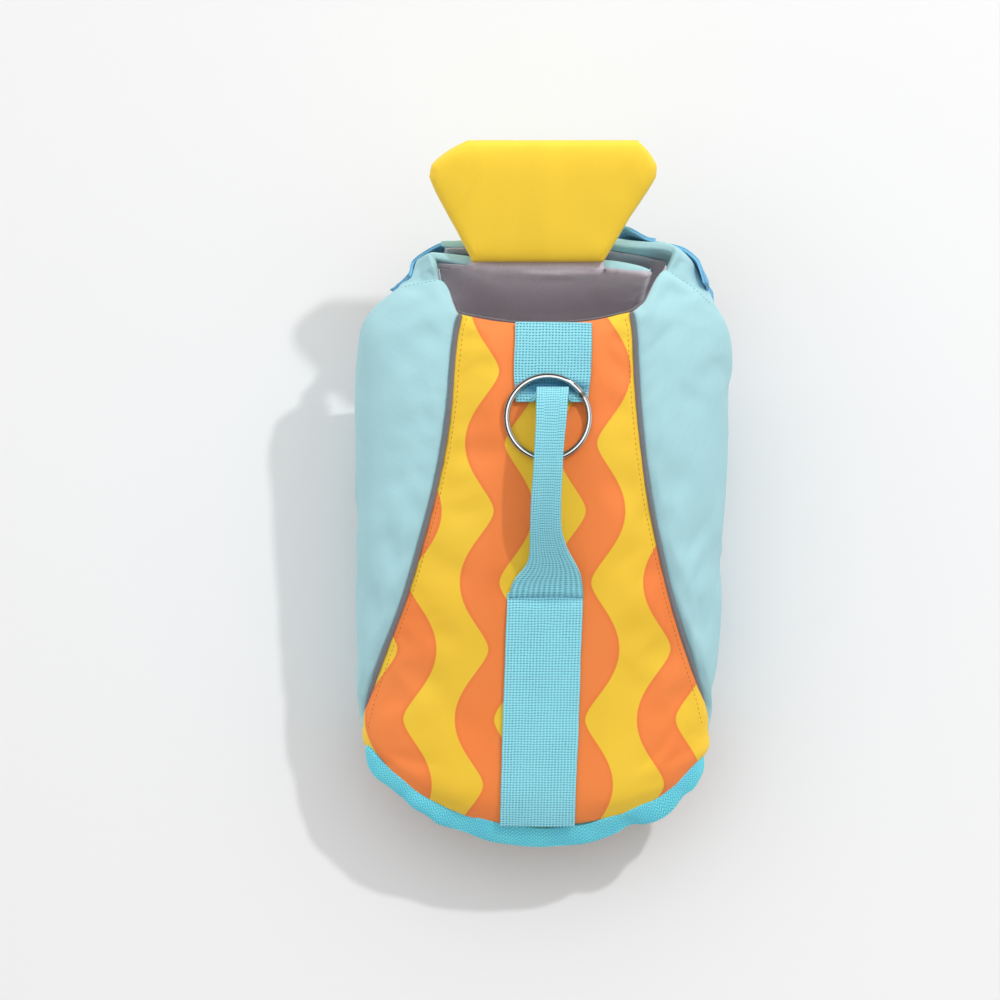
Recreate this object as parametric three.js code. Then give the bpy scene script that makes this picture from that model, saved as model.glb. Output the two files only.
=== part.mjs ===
// Dog life jacket: an arched back panel of printed foam cloth, two plain side panels, a belly
// panel, a two-flap chest with a chin float, webbing with a handle and a steel leash ring.
// Millimetres. X is to the jacket's right side, Y to the neck, Z up. The jacket lies on its belly,
// and the origin is on the floor under the middle of its box.

import * as THREE from "three";

// Cloth and trim
const SEAM_GAP = 0.3;
const PUFF = 3;
const SEAM_WALL = 3.2;
const BACK_WALL = 9;
const SIDE_WALL = 8;
const BELLY_WALL = 5;
const EDGE_ROUND = 15;
const LINING = 1.4;
const LINING_GAP = 0.5;
const PIPING_DIAMETER = 3.5;
const PIPING_PROUD = 1.1;
const NECK_BINDING_DIAMETER = 2.4;
const NECK_BINDING_SINK = 1.3;
const HEM_WALL = 3;
const HEM_DROOP = 1.4;
const HEM_END = 0.985;

// Webbing, ring and buckles
const WEBBING_WIDTH = 38;
const WEBBING = 1.6;
const HANDLE_WIDTH = 18.4;
const HANDLE_WALL = 3;
const HANDLE_HEIGHT = 20;
const RING_INSIDE = 38;
const RING_WIRE = 3.2;
const RING_LIFT = 1;
const RING_PLACE = { x: 1.4, y: 41 };
const CHEST_STRAP_WIDTH = 20;
const BELLY_STRAP_WIDTH = 16;
const BELLY_STRAP_ENDS = { above: 22, below: 24 };
const BELLY_BUCKLE_PLACE = 1.5;
const BELLY_BUCKLE_LIFT = 1.9;
const BUCKLE_WALL = 5;
const BUCKLE_BEVEL = 0.8;
const BELLY_STRAPS = [
  { name: "front", y: 15 },
  { name: "rear", y: -62 },
];

// Chin float: its outline from above and its rise
const FLOAT_WALL = 14;
const FLOAT_SEAM_WALL = 4;
const FLOAT_SPREAD = 90;
const FLOAT_EDGE_ROUND = 8;
const FLOAT_ROOT = { y: 119.4, z: 89.5 };
const FLOAT_RISE = THREE.MathUtils.degToRad(16);
const FLOAT_OUTLINE = [
  { y: 119.4, left: -36.5, right: 29.5 },
  { y: 130, left: -42, right: 36 },
  { y: 145, left: -50, right: 45 },
  { y: 156, left: -56, right: 52.5 },
  { y: 161, left: -57.8, right: 55.4 },
  { y: 166, left: -57, right: 55.8 },
  { y: 171, left: -52.6, right: 53 },
  { y: 175.4, left: -45.5, right: 49.6 },
  { y: 178.4, left: -38.4, right: 46 },
];

// Outside of the body at each station along the back: its two sides, its top and its widest height
const BODY = [
  { y: -190, left: -88, right: 80, top: 44, wide: 33 },
  { y: -165, left: -91.5, right: 83, top: 52, wide: 37 },
  { y: -149, left: -93, right: 84.2, top: 58, wide: 39 },
  { y: -128, left: -93.9, right: 85.4, top: 64.5, wide: 42 },
  { y: -102, left: -96.2, right: 87.2, top: 72, wide: 46 },
  { y: -77, left: -96.2, right: 89.6, top: 78.5, wide: 50 },
  { y: -51, left: -96.1, right: 90.5, top: 84.5, wide: 53 },
  { y: -26, left: -95.6, right: 91, top: 89, wide: 55 },
  { y: 0, left: -95.8, right: 92, top: 92.8, wide: 57 },
  { y: 25, left: -95.5, right: 92.7, top: 95.6, wide: 59 },
  { y: 50, left: -95.8, right: 93.2, top: 97.6, wide: 60 },
  { y: 66, left: -95.3, right: 95.2, top: 98.4, wide: 60 },
  { y: 76, left: -95, right: 95.6, top: 98.7, wide: 60 },
  { y: 86, left: -93, right: 95, top: 98.9, wide: 60 },
  { y: 96, left: -89.5, right: 93.6, top: 99, wide: 60 },
  { y: 106, left: -85, right: 92.4, top: 98.4, wide: 60 },
  { y: 125, left: -78, right: 88, top: 97, wide: 58 },
];
const TOP_SQUARENESS = 2.3;
const BOTTOM_SQUARENESS = 2.4;
const REST_FLAT = 1.6;

// Piping between the back and side panels: its distance from X = 0 on each side
const PIPING = [
  { y: -190, left: -93, right: 84.4 },
  { y: -127, left: -93.3, right: 84.8 },
  { y: -117, left: -93, right: 84.2 },
  { y: -102, left: -89.4, right: 80.5 },
  { y: -76, left: -80.2, right: 71.8 },
  { y: -51, left: -70.8, right: 64.1 },
  { y: -25, left: -63, right: 57.8 },
  { y: 0, left: -56.2, right: 52.6 },
  { y: 25, left: -50.8, right: 48.9 },
  { y: 50, left: -47.3, right: 46.5 },
  { y: 65, left: -46.3, right: 45.6 },
  { y: 85, left: -44.2, right: 44.6 },
  { y: 96, left: -41.4, right: 43 },
  { y: 125, left: -38.5, right: 48.5 },
];

// Edges of the back panel, from the left piping (-1) to the right piping (1)
const BACK_EDGES = [
  { across: -1, hem: -124.5, neck: 92.6 },
  { across: -0.95, hem: -129, neck: 91.9 },
  { across: -0.83, hem: -139, neck: 91 },
  { across: -0.68, hem: -148.6, neck: 89.9 },
  { across: -0.44, hem: -159.6, neck: 88.4 },
  { across: -0.22, hem: -164, neck: 87.6 },
  { across: 0.22, hem: -164.4, neck: 88.2 },
  { across: 0.57, hem: -158.2, neck: 89.6 },
  { across: 0.74, hem: -150, neck: 91 },
  { across: 0.88, hem: -140, neck: 92.4 },
  { across: 0.96, hem: -131.5, neck: 93.2 },
  { across: 1, hem: -127, neck: 93.6 },
];

// Width of the hem binding round the tail: narrow at its ends, with a kink where it is puckered
const HEM_WIDTHS = [
  { across: -1, width: 5.5 },
  { across: -0.93, width: 7.6 },
  { across: -0.86, width: 9 },
  { across: -0.78, width: 9.6 },
  { across: -0.68, width: 8.8 },
  { across: -0.6, width: 8.4 },
  { across: -0.55, width: 11.6 },
  { across: -0.4, width: 11.6 },
  { across: -0.1, width: 12.2 },
  { across: 0.35, width: 11.8 },
  { across: 0.5, width: 11.6 },
  { across: 0.58, width: 9.8 },
  { across: 0.7, width: 10.4 },
  { across: 0.82, width: 9.8 },
  { across: 0.87, width: 10.4 },
  { across: 0.91, width: 7.8 },
  { across: 0.96, width: 7.6 },
  { across: 1, width: 5 },
];

// Edges of a side panel, at distances down from the piping
const SIDE_EDGES = [
  { down: 0, tail: -121, left: 92.6, right: 93.6 },
  { down: 6, tail: -120.5, left: 98.2, right: 98.8 },
  { down: 9.5, tail: -120, left: 103.4, right: 104.6 },
  { down: 13, tail: -119.5, left: 108.8, right: 111.6 },
  { down: 24, tail: -118, left: 107.4, right: 107.4 },
  { down: 36, tail: -116, left: 105.2, right: 101.2 },
  { down: 42, tail: -115, left: 99.4, right: 97.2 },
  { down: 52, tail: -113, left: 91, right: 90.4 },
  { down: 63, tail: -111, left: 81.6, right: 81.6 },
  { down: 76, tail: -108.5, left: 71.8, right: 71.8 },
  { down: 92, tail: -105, left: 62.6, right: 62.6 },
  { down: 108, tail: -101.5, left: 57, right: 57 },
  { down: 123, tail: -99, left: 55, right: 55 },
];
const SIDE_HEIGHT = { left: 122, right: 93 };
const SHOULDER = { neck: 13, left: 36, right: 42 };
const BELLY_HALF_WIDTH = { left: 55, right: 80 };
const BELLY_EDGES = { tail: -98, front: 54 };

// Outside of the chest flap from its left shoulder seam to its right end: top edge, bottom edge, wall
const CHEST_FLAP = [
  { along: 0, topX: -52.6, topY: 109.6, topZ: 92, lowX: -74.6, lowY: 106.2, lowZ: 79, wall: 5 },
  { along: 0.1, topX: -55.8, topY: 117, topZ: 90, lowX: -69.8, lowY: 112, lowZ: 66, wall: 5.5 },
  { along: 0.19, topX: -58.2, topY: 123.6, topZ: 88, lowX: -65, lowY: 116, lowZ: 50, wall: 4.5 },
  { along: 0.28, topX: -50, topY: 123.4, topZ: 86.5, lowX: -54, lowY: 106, lowZ: 34, wall: 4.5 },
  { along: 0.4, topX: -34, topY: 122, topZ: 84.6, lowX: -36, lowY: 92, lowZ: 24, wall: 6.5 },
  { along: 0.58, topX: -2, topY: 121.6, topZ: 84.6, lowX: 0, lowY: 84, lowZ: 19, wall: 7 },
  { along: 0.8, topX: 31, topY: 120.4, topZ: 85.5, lowX: 33, lowY: 90, lowZ: 23, wall: 7 },
  { along: 0.93, topX: 47, topY: 117.6, topZ: 87, lowX: 45, lowY: 97, lowZ: 29, wall: 5.5 },
  { along: 1, topX: 53, topY: 115, topZ: 88, lowX: 49, lowY: 99, lowZ: 33, wall: 4.5 },
];

// Outside of the neck strap from its left end to its right shoulder seam
const NECK_STRAP = [
  { along: 0, topX: -52, topY: 129.8, topZ: 83, lowX: -50, lowY: 117, lowZ: 42, wall: 4 },
  { along: 0.16, topX: -36, topY: 130.6, topZ: 81, lowX: -36, lowY: 110, lowZ: 33, wall: 5 },
  { along: 0.4, topX: 0, topY: 132.4, topZ: 79, lowX: 0, lowY: 105, lowZ: 28, wall: 5 },
  { along: 0.62, topX: 34, topY: 133.2, topZ: 81, lowX: 37, lowY: 108, lowZ: 33, wall: 5 },
  { along: 0.76, topX: 54, topY: 131.6, topZ: 84, lowX: 60, lowY: 115, lowZ: 42, wall: 5 },
  { along: 0.85, topX: 65.5, topY: 127, topZ: 86.5, lowX: 75, lowY: 114, lowZ: 54, wall: 4.5 },
  { along: 0.93, topX: 65.2, topY: 119.6, topZ: 88, lowX: 81.5, lowY: 107, lowZ: 66, wall: 5 },
  { along: 1, topX: 62, topY: 112.2, topZ: 90, lowX: 84, lowY: 97.6, lowZ: 77, wall: 5 },
];
// Chest strap: the stretches of the two chest walls that it runs over, from shoulder to shoulder
const CHEST_STRAP_ROUTE = [
  { wall: CHEST_FLAP, from: 0.03, to: 0.205, upFrom: -0.06, upTo: 0.34, rows: 7 },
  { wall: NECK_STRAP, from: 0.03, to: 0.68, upFrom: 0.5, upTo: 0.52, rows: 9 },
  { wall: NECK_STRAP, from: 0.73, to: 0.97, upFrom: 0.46, upTo: 0.06, rows: 8 },
];
const CHEST_BUCKLE = { along: 0.5, up: 0.52 };
const CHEST_STRAP_END = [
  { along: 0.672, up: 0.5, half: 10 },
  { along: 0.69, up: 0.66, half: 10 },
  { along: 0.705, up: 0.83, half: 10 },
  { along: 0.716, up: 0.98, half: 10 },
  { along: 0.722, up: 1.06, half: 5 },
];
const FLAP_LINING = { from: 0.27, to: 0.97 };
const NECK_STRAP_LINING = { from: 0.03, to: 0.8 };
const CHEST_BULGE = 3.5;
const SHOULDER_BLEND = 0.12;
const SHOULDER_GAP = 0.8;
const CHEST_HEIGHT = 60;
const CHEST_EDGE_ROUND = 7;

// Colours
const COLOURS = {
  yellow: 0xf5cb3c,
  aqua: 0xacd8dd,
  turquoise: 0x7fcfe0,
  blue: 0x7cc6ee,
  grey: 0x857b83,
  pipingGrey: 0x7d7d82,
  steel: 0xc9ccd0,
  plastic: 0x5fb4c6,
};

// Middle of the jacket's box in the frame of the tables, which the group is moved back by
const BOX_MIDDLE = { x: -0.4, y: 1.4 };

const jacket = new THREE.Group();
jacket.position.set(-BOX_MIDDLE.x, -BOX_MIDDLE.y, 0);

// Numbers and tables

const clamp = THREE.MathUtils.clamp;
const mix = THREE.MathUtils.lerp;

// Value of a column at a place between a table's rows, on a smooth curve through them
function valueAt(table, key, column, at) {
  const last = table.length - 2;
  let i = 0;
  while (i < last && at > table[i + 1][key]) {
    i += 1;
  }
  const [a, b] = [table[i], table[i + 1]];
  const [before, after] = [table[Math.max(i - 1, 0)], table[Math.min(i + 2, last + 1)]];
  const step = b[key] - a[key];
  const part = clamp((at - a[key]) / step, 0, 1);
  const slopeA = ((b[column] - before[column]) / (b[key] - before[key])) * step;
  const slopeB = ((after[column] - a[column]) / (after[key] - a[key])) * step;
  const square = part * part;
  const cube = square * part;
  return (
    (2 * cube - 3 * square + 1) * a[column] +
    (cube - 2 * square + part) * slopeA +
    (3 * square - 2 * cube) * b[column] +
    (cube - square) * slopeB
  );
}

// Steps from 0 to 1 that lie closer together near both ends
function steps(count, crowding = 0.6) {
  return Array.from({ length: count + 1 }, (_, i) =>
    mix(i / count, (1 - Math.cos((Math.PI * i) / count)) / 2, crowding),
  );
}

// How far a padded wall has swelled at a distance from its nearest seam, from 0 to 1
function swell(distance, round = EDGE_ROUND) {
  const left = 1 - clamp(distance / round, 0, 1);
  return Math.sqrt(1 - left * left);
}

// Closed wall between an outer and an inner grid of points
function wallBetween(outer, inner) {
  const columns = outer.length;
  const rows = outer[0].length;
  const positions = [];
  for (const grid of [outer, inner]) {
    for (const column of grid) {
      for (const point of column) {
        positions.push(point.x, point.y, point.z);
      }
    }
  }
  const out = (i, j) => i * rows + j;
  const within = (i, j) => columns * rows + i * rows + j;
  const faces = [];
  const quad = (a, b, c, d) => faces.push(a, b, c, a, c, d);
  for (let i = 0; i < columns - 1; i += 1) {
    for (let j = 0; j < rows - 1; j += 1) {
      quad(out(i, j), out(i + 1, j), out(i + 1, j + 1), out(i, j + 1));
      quad(within(i, j), within(i, j + 1), within(i + 1, j + 1), within(i + 1, j));
    }
    quad(out(i, 0), within(i, 0), within(i + 1, 0), out(i + 1, 0));
    const top = rows - 1;
    quad(out(i, top), out(i + 1, top), within(i + 1, top), within(i, top));
  }
  for (let j = 0; j < rows - 1; j += 1) {
    quad(out(0, j), out(0, j + 1), within(0, j + 1), within(0, j));
    const end = columns - 1;
    quad(out(end, j), within(end, j), within(end, j + 1), out(end, j + 1));
  }
  const geometry = new THREE.BufferGeometry();
  geometry.setAttribute("position", new THREE.Float32BufferAttribute(positions, 3));
  geometry.setIndex(faces);
  return geometry;
}

// Wall on a surface: "at" gives the point for (u, v), "outside" and "inside" its two offsets
function wallOn(at, us, vs, outside, inside) {
  const nudge = 1e-3;
  const outer = [];
  const inner = [];
  for (const u of us) {
    const outerColumn = [];
    const innerColumn = [];
    for (const v of vs) {
      const point = at(u, v);
      const normal = normalAt(at, u, v, nudge);
      outerColumn.push(point.clone().addScaledVector(normal, outside(u, v)));
      innerColumn.push(point.clone().addScaledVector(normal, -inside(u, v)));
    }
    outer.push(outerColumn);
    inner.push(innerColumn);
  }
  return wallBetween(outer, inner);
}

function normalAt(at, u, v, nudge) {
  const alongU = at(u + nudge, v).sub(at(u - nudge, v));
  const alongV = at(u, v + nudge).sub(at(u, v - nudge));
  return alongU.cross(alongV).normalize();
}

function add(name, geometry, colour, roughness = 0.85, metalness = 0) {
  geometry.computeVertexNormals();
  const material = new THREE.MeshStandardMaterial({ color: colour, roughness, metalness });
  const mesh = new THREE.Mesh(geometry, material);
  mesh.name = name;
  jacket.add(mesh);
}

// Body: the surface that all the seams lie on

const SECTION_STEPS = 160;
const sections = new Map();

function sectionAt(y) {
  const key = y.toFixed(3);
  if (!sections.has(key)) {
    const left = valueAt(BODY, "y", "left", y) + PUFF;
    const right = valueAt(BODY, "y", "right", y) - PUFF;
    const top = valueAt(BODY, "y", "top", y) - PUFF;
    const wide = valueAt(BODY, "y", "wide", y);
    const half = (right - left) / 2;
    const points = [];
    let length = 0;
    for (let i = 0; i <= SECTION_STEPS; i += 1) {
      const turn = (Math.PI * i) / SECTION_STEPS;
      const upper = turn <= Math.PI / 2;
      const power = 2 / (upper ? TOP_SQUARENESS : BOTTOM_SQUARENESS);
      const x = half * Math.abs(Math.sin(turn)) ** power;
      const height = Math.abs(Math.cos(turn)) ** power;
      const z = upper ? wide + (top - wide) * height : wide - (wide + REST_FLAT) * height;
      const point = { x, z: Math.max(z, 0) };
      const before = points[i - 1] ?? point;
      length += Math.hypot(point.x - before.x, point.z - before.z);
      points.push({ ...point, arc: length });
    }
    sections.set(key, { middle: (left + right) / 2, half, points, length });
  }
  return sections.get(key);
}

// Point at a distance round the section from the top of the back, positive to the right
function skin(y, arc) {
  const { middle, points } = sectionAt(y);
  const side = Math.sign(arc) || 1;
  const far = Math.abs(arc);
  let low = 0;
  let high = points.length - 1;
  while (high - low > 1) {
    const half = (low + high) >> 1;
    if (points[half].arc > far) {
      high = half;
    } else {
      low = half;
    }
  }
  const [a, b] = [points[low], points[high]];
  const part = clamp((far - a.arc) / (b.arc - a.arc), 0, 1);
  return new THREE.Vector3(middle + side * mix(a.x, b.x, part), y, mix(a.z, b.z, part));
}

function skinNormal(y, arc) {
  const nudge = 0.5;
  const round = skin(y, arc + nudge).sub(skin(y, arc - nudge));
  const along = skin(y + nudge, arc).sub(skin(y - nudge, arc));
  return round.cross(along).normalize();
}

// Distance round the section at which it reaches a given X
function arcAtX(y, x) {
  const { middle, half, points } = sectionAt(y);
  const reach = Math.min(Math.abs(x - middle), half * 0.995);
  const after = points.findIndex((point) => point.x >= reach);
  const [a, b] = [points[after - 1], points[after]];
  return mix(a.arc, b.arc, (reach - a.x) / (b.x - a.x)) * Math.sign(x - middle);
}

const pipingArc = (y, side) => Math.abs(arcAtX(y, valueAt(PIPING, "y", side, y)));
const bellyArc = (y, side) => sectionAt(y).length - BELLY_HALF_WIDTH[side];
const PIPING_ROOM = PIPING_DIAMETER / 2 + SEAM_GAP;

// Back panel: across from -1 at the left piping to 1 at the right, along from 0 at the hem to 1

function backArc(y, across) {
  const side = across < 0 ? "left" : "right";
  return across * (pipingArc(y, side) - PIPING_ROOM);
}

function backY(across, along) {
  const hem = valueAt(BACK_EDGES, "across", "hem", across);
  const neck = valueAt(BACK_EDGES, "across", "neck", across);
  return mix(hem, neck, along);
}

const backAt = (across, along) => {
  const y = backY(across, along);
  return skin(y, backArc(y, across));
};

function backSeamDistance(across, along) {
  const y = backY(across, along);
  const length = backY(across, 1) - backY(across, 0);
  const toPiping = (1 - Math.abs(across)) * Math.abs(backArc(y, Math.sign(across) || 1));
  return Math.min(toPiping, along * length * 0.8, (1 - along) * length);
}

const backOutside = (across, along) => PUFF * swell(backSeamDistance(across, along));

function addBackPanel() {
  const inside = (across, along) =>
    mix(SEAM_WALL, BACK_WALL, swell(backSeamDistance(across, along)));
  const acrossSteps = steps(22).map((step) => step * 2 - 1);
  add("back_panel", wallOn(backAt, acrossSteps, steps(26), backOutside, inside), COLOURS.yellow);
}

// Side panels: down from 0 at the piping to 1 at the belly, along from 0 at the tail to 1

function sideY(side, down, along) {
  const tail = valueAt(SIDE_EDGES, "down", "tail", down * SIDE_HEIGHT[side]);
  const front = valueAt(SIDE_EDGES, "down", side, down * SIDE_HEIGHT[side]);
  return mix(tail, front, along);
}

function sideArc(side, y, down) {
  const top = pipingArc(y, side) + PIPING_ROOM;
  return mix(top, bellyArc(y, side) - SEAM_GAP, down);
}

function sideAt(side, down, along) {
  const y = sideY(side, down, along);
  const sign = side === "left" ? -1 : 1;
  return skin(y, sign * sideArc(side, y, down));
}

function sideSeamDistance(side, down, along) {
  const y = sideY(side, down, along);
  const height = sideArc(side, y, 1) - sideArc(side, y, 0);
  const length = sideY(side, down, 1) - sideY(side, down, 0);
  return Math.min(down * height, (1 - down) * height, along * length, (1 - along) * length * 0.8);
}

function addSidePanel(side) {
  const swelling = (a, b) => swell(sideSeamDistance(side, a, b));
  const outside = (a, b) => PUFF * swelling(a, b);
  const inside = (a, b) => mix(SEAM_WALL, SIDE_WALL, swelling(a, b));
  const name = `side_panel_${side}`;
  const alongSteps = steps(22, 0.75);
  if (side === "right") {
    const at = (down, along) => sideAt(side, down, along);
    add(name, wallOn(at, steps(14), alongSteps, outside, inside), COLOURS.aqua);
  } else {
    const at = (up, along) => sideAt(side, 1 - up, along);
    const flip = (offset) => (up, along) => offset(1 - up, along);
    add(name, wallOn(at, steps(14), alongSteps, flip(outside), flip(inside)), COLOURS.aqua);
  }
}

// Belly panel: under the body from the left seam to the right seam, flat where it rests

function addBellyPanel() {
  const at = (across, along) => {
    const y = mix(BELLY_EDGES.tail, BELLY_EDGES.front, along);
    const full = sectionAt(y).length;
    const fromMiddle = mix(BELLY_HALF_WIDTH.right, -BELLY_HALF_WIDTH.left, across);
    const side = fromMiddle >= 0 ? 1 : -1;
    return skin(y, side * (full - Math.abs(fromMiddle)));
  };
  const inside = (across, along) => {
    const width = BELLY_HALF_WIDTH.left + BELLY_HALF_WIDTH.right;
    const length = BELLY_EDGES.front - BELLY_EDGES.tail;
    const seams = [across * width, (1 - across) * width, along * length, (1 - along) * length];
    return mix(SEAM_WALL, BELLY_WALL, swell(Math.min(...seams)));
  };
  const flat = () => 0;
  add("belly_panel", wallOn(at, steps(16, 0.3), steps(10), flat, inside), COLOURS.aqua);
}

// Tube along a line of points
function tubeAlong(points, diameter, segments) {
  const section = new THREE.Shape();
  section.absarc(0, 0, diameter / 2, 0, Math.PI * 2);
  return new THREE.ExtrudeGeometry(section, {
    steps: segments,
    extrudePath: new THREE.CatmullRomCurve3(points),
    curveSegments: 4,
  });
}

function addPiping(side) {
  const sign = side === "left" ? -1 : 1;
  const end = side === "left" ? 0 : 11;
  const tail = BACK_EDGES[end].hem - 1;
  const front = BACK_EDGES[end].neck + 0.5;
  const points = [];
  const count = 24;
  for (let i = 0; i <= count; i += 1) {
    const y = mix(tail, front, i / count);
    const arc = sign * pipingArc(y, side);
    points.push(skin(y, arc).addScaledVector(skinNormal(y, arc), PIPING_PROUD));
  }
  add(`piping_${side}`, tubeAlong(points, PIPING_DIAMETER, 30), COLOURS.pipingGrey);
}

// Neck binding: along the neck edge from one shoulder seam to the other
function addNeckBinding() {
  const out = NECK_BINDING_DIAMETER / 2 + SEAM_GAP;
  const points = [];
  const onSide = (side, down) => {
    const point = sideAt(side, down / SIDE_HEIGHT[side], 1);
    const inward = side === "left" ? 1 : -1;
    return point.add(new THREE.Vector3(inward * out * 1.25, out * 0.75, -NECK_BINDING_SINK));
  };
  const downs = [11.5, 8, 4.5, 1.5];
  downs.forEach((down) => points.push(onSide("left", down)));
  const count = 9;
  for (let i = 0; i <= count; i += 1) {
    const point = backAt(mix(-0.84, 0.84, i / count), 1);
    points.push(point.add(new THREE.Vector3(0, out * 1.1, -NECK_BINDING_SINK)));
  }
  downs.reverse().forEach((down) => points.push(onSide("right", down)));
  add("neck_binding", tubeAlong(points, NECK_BINDING_DIAMETER, 34), COLOURS.pipingGrey);
}

// Hem binding: a folded tape round the tail edge of the back panel
function addHemBinding() {
  const edgeAt = (across) => backAt(across, 0);
  const at = (across, out) => {
    const edge = edgeAt(across);
    const tangent = edgeAt(across + 0.01).sub(edgeAt(across - 0.01)).normalize();
    const normal = normalAt(backAt, across, 0.01, 1e-3);
    const outward = tangent.clone().cross(normal).normalize();
    if (outward.y > 0) {
      outward.negate();
    }
    const reach = SEAM_GAP + out * valueAt(HEM_WIDTHS, "across", "width", across);
    const droop = HEM_DROOP * out * out;
    return edge.addScaledVector(outward, reach).addScaledVector(normal, -droop);
  };
  const outside = (_, out) => mix(0.4, -0.6, out * out);
  const inside = (_, out) => mix(HEM_WALL - 0.4, HEM_WALL * 0.6, out * out);
  const acrossSteps = steps(56, 0.25).map((step) => mix(-HEM_END, HEM_END, step));
  const flip = (across, out) => at(across, 1 - out);
  const flipped = (offset) => (across, out) => offset(across, 1 - out);
  const geometry = wallOn(flip, acrossSteps, steps(3), flipped(outside), flipped(inside));
  add("hem_binding", geometry, COLOURS.turquoise);
}

// Chest: the flap from the left shoulder and the neck strap from the right one

function edgePoint(table, edge, along) {
  const value = (axis) => valueAt(table, "along", edge + axis, along);
  return new THREE.Vector3(value("X"), value("Y"), value("Z"));
}

// Point of the shoulder seam, down from the neck (0) to the side (1)
function shoulderPoint(side, down) {
  const place = mix(SHOULDER.neck, SHOULDER[side], down) / SIDE_HEIGHT[side];
  const y = sideY(side, place, 1) + SHOULDER_GAP;
  const sign = side === "left" ? -1 : 1;
  return skin(y, sign * sideArc(side, y, place));
}

function chestAt(table, along, up) {
  const down = 1 - up;
  const top = edgePoint(table, "top", along);
  const low = edgePoint(table, "low", along);
  const nudge = 1e-3;
  const ahead = edgePoint(table, "top", along + nudge);
  const tangent = ahead.sub(edgePoint(table, "top", along - nudge));
  const outward = tangent.cross(low.clone().sub(top)).normalize();
  const fromSeam = seamDistance(table, along);
  const blend = THREE.MathUtils.smoothstep(fromSeam, 0, SHOULDER_BLEND);
  const bulge = CHEST_BULGE * 4 * down * (1 - down) * blend;
  const free = top.lerp(low, down).addScaledVector(outward, bulge);
  if (fromSeam >= SHOULDER_BLEND) {
    return free;
  }
  const side = table === CHEST_FLAP ? "left" : "right";
  const seamAlong = table === CHEST_FLAP ? 0 : 1;
  const start = edgePoint(table, "top", seamAlong).lerp(edgePoint(table, "low", seamAlong), down);
  const moved = shoulderPoint(side, down).add(free).sub(start);
  return moved.lerp(free, blend);
}

const seamDistance = (table, along) => (table === CHEST_FLAP ? along : 1 - along);

// Padded wall of the chest, with its inside square to the shoulder seam where it starts there
function addChestWall(name, table, columns) {
  const at = (up, along) => chestAt(table, along, up);
  const outer = [];
  const inner = [];
  for (const up of steps(6)) {
    const outerRow = [];
    const innerRow = [];
    for (const along of steps(columns, 0.35)) {
      const point = at(up, along);
      const normal = normalAt(at, up, along, 1e-3);
      const turn = THREE.MathUtils.smoothstep(seamDistance(table, along), 0, SHOULDER_BLEND);
      normal.setY(normal.y * turn).normalize();
      const wall = valueAt(table, "along", "wall", along);
      const edge = Math.min(up, 1 - up) * CHEST_HEIGHT;
      const depth = mix(wall * 0.7, wall, swell(edge, CHEST_EDGE_ROUND));
      outerRow.push(point);
      innerRow.push(point.clone().addScaledVector(normal, -depth));
    }
    outer.push(outerRow);
    inner.push(innerRow);
  }
  add(name, wallBetween(outer, inner), COLOURS.aqua);
}

// Lining on the inside of a chest wall
function addChestLining(name, table, { from, to }, columns) {
  const at = (up, along) => chestAt(table, mix(from, to, along), mix(0.04, 0.96, up));
  const depth = (along) => valueAt(table, "along", "wall", mix(from, to, along)) + LINING_GAP;
  const outside = (_, along) => -depth(along);
  const inside = (_, along) => depth(along) + LINING;
  add(name, wallOn(at, steps(5), steps(columns, 0.35), outside, inside), COLOURS.grey, 0.6);
}

// Chin float

function addChinFloat() {
  const last = FLOAT_OUTLINE[FLOAT_OUTLINE.length - 1].y;
  const at = (across, along) => {
    const y = mix(FLOAT_ROOT.y, last, along);
    const left = valueAt(FLOAT_OUTLINE, "y", "left", y);
    const right = valueAt(FLOAT_OUTLINE, "y", "right", y);
    const z = FLOAT_ROOT.z + (y - FLOAT_ROOT.y) * Math.tan(FLOAT_RISE);
    return new THREE.Vector3(mix(left, right, across), y, z);
  };
  const half = (across, along) => {
    const length = last - FLOAT_ROOT.y;
    const toSide = Math.min(across, 1 - across) * FLOAT_SPREAD;
    const seams = Math.min(toSide, along * length, (1 - along) * length);
    return mix(FLOAT_SEAM_WALL, FLOAT_WALL, swell(seams, FLOAT_EDGE_ROUND)) / 2;
  };
  add("chin_float", wallOn(at, steps(16, 0.85), steps(14, 0.85), half, half), COLOURS.yellow);
}

// Webbing on the back: a flat strip on the panel's outside

const WEBBING_LINE = [
  { y: -170, x: -3.7 },
  { y: 90, x: 4.4 },
];
const webbingX = (y) => valueAt(WEBBING_LINE, "y", "x", y);

// Point on the outside of the back panel under a given X and Y
function backTopAt(x, y) {
  const arc = arcAtX(y, x);
  const side = arc < 0 ? "left" : "right";
  const across = clamp(arc / (pipingArc(y, side) - PIPING_ROOM), -1, 1);
  const hem = valueAt(BACK_EDGES, "across", "hem", across);
  const neck = valueAt(BACK_EDGES, "across", "neck", across);
  const along = clamp((y - hem) / (neck - hem), 0, 1);
  return skin(y, arc).addScaledVector(normalAt(backAt, across, along, 1e-3), backOutside(across, along));
}

function addFlatWebbing(name, tailY, frontY, rows) {
  const at = (across, along) => {
    const y = mix(tailY, frontY, along);
    return backTopAt(webbingX(y) + (across - 0.5) * WEBBING_WIDTH, y);
  };
  const outside = () => SEAM_GAP + WEBBING;
  const inside = () => -SEAM_GAP;
  add(name, wallOn(at, steps(8, 0), steps(rows, 0.4), outside, inside), COLOURS.turquoise);
}

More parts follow.
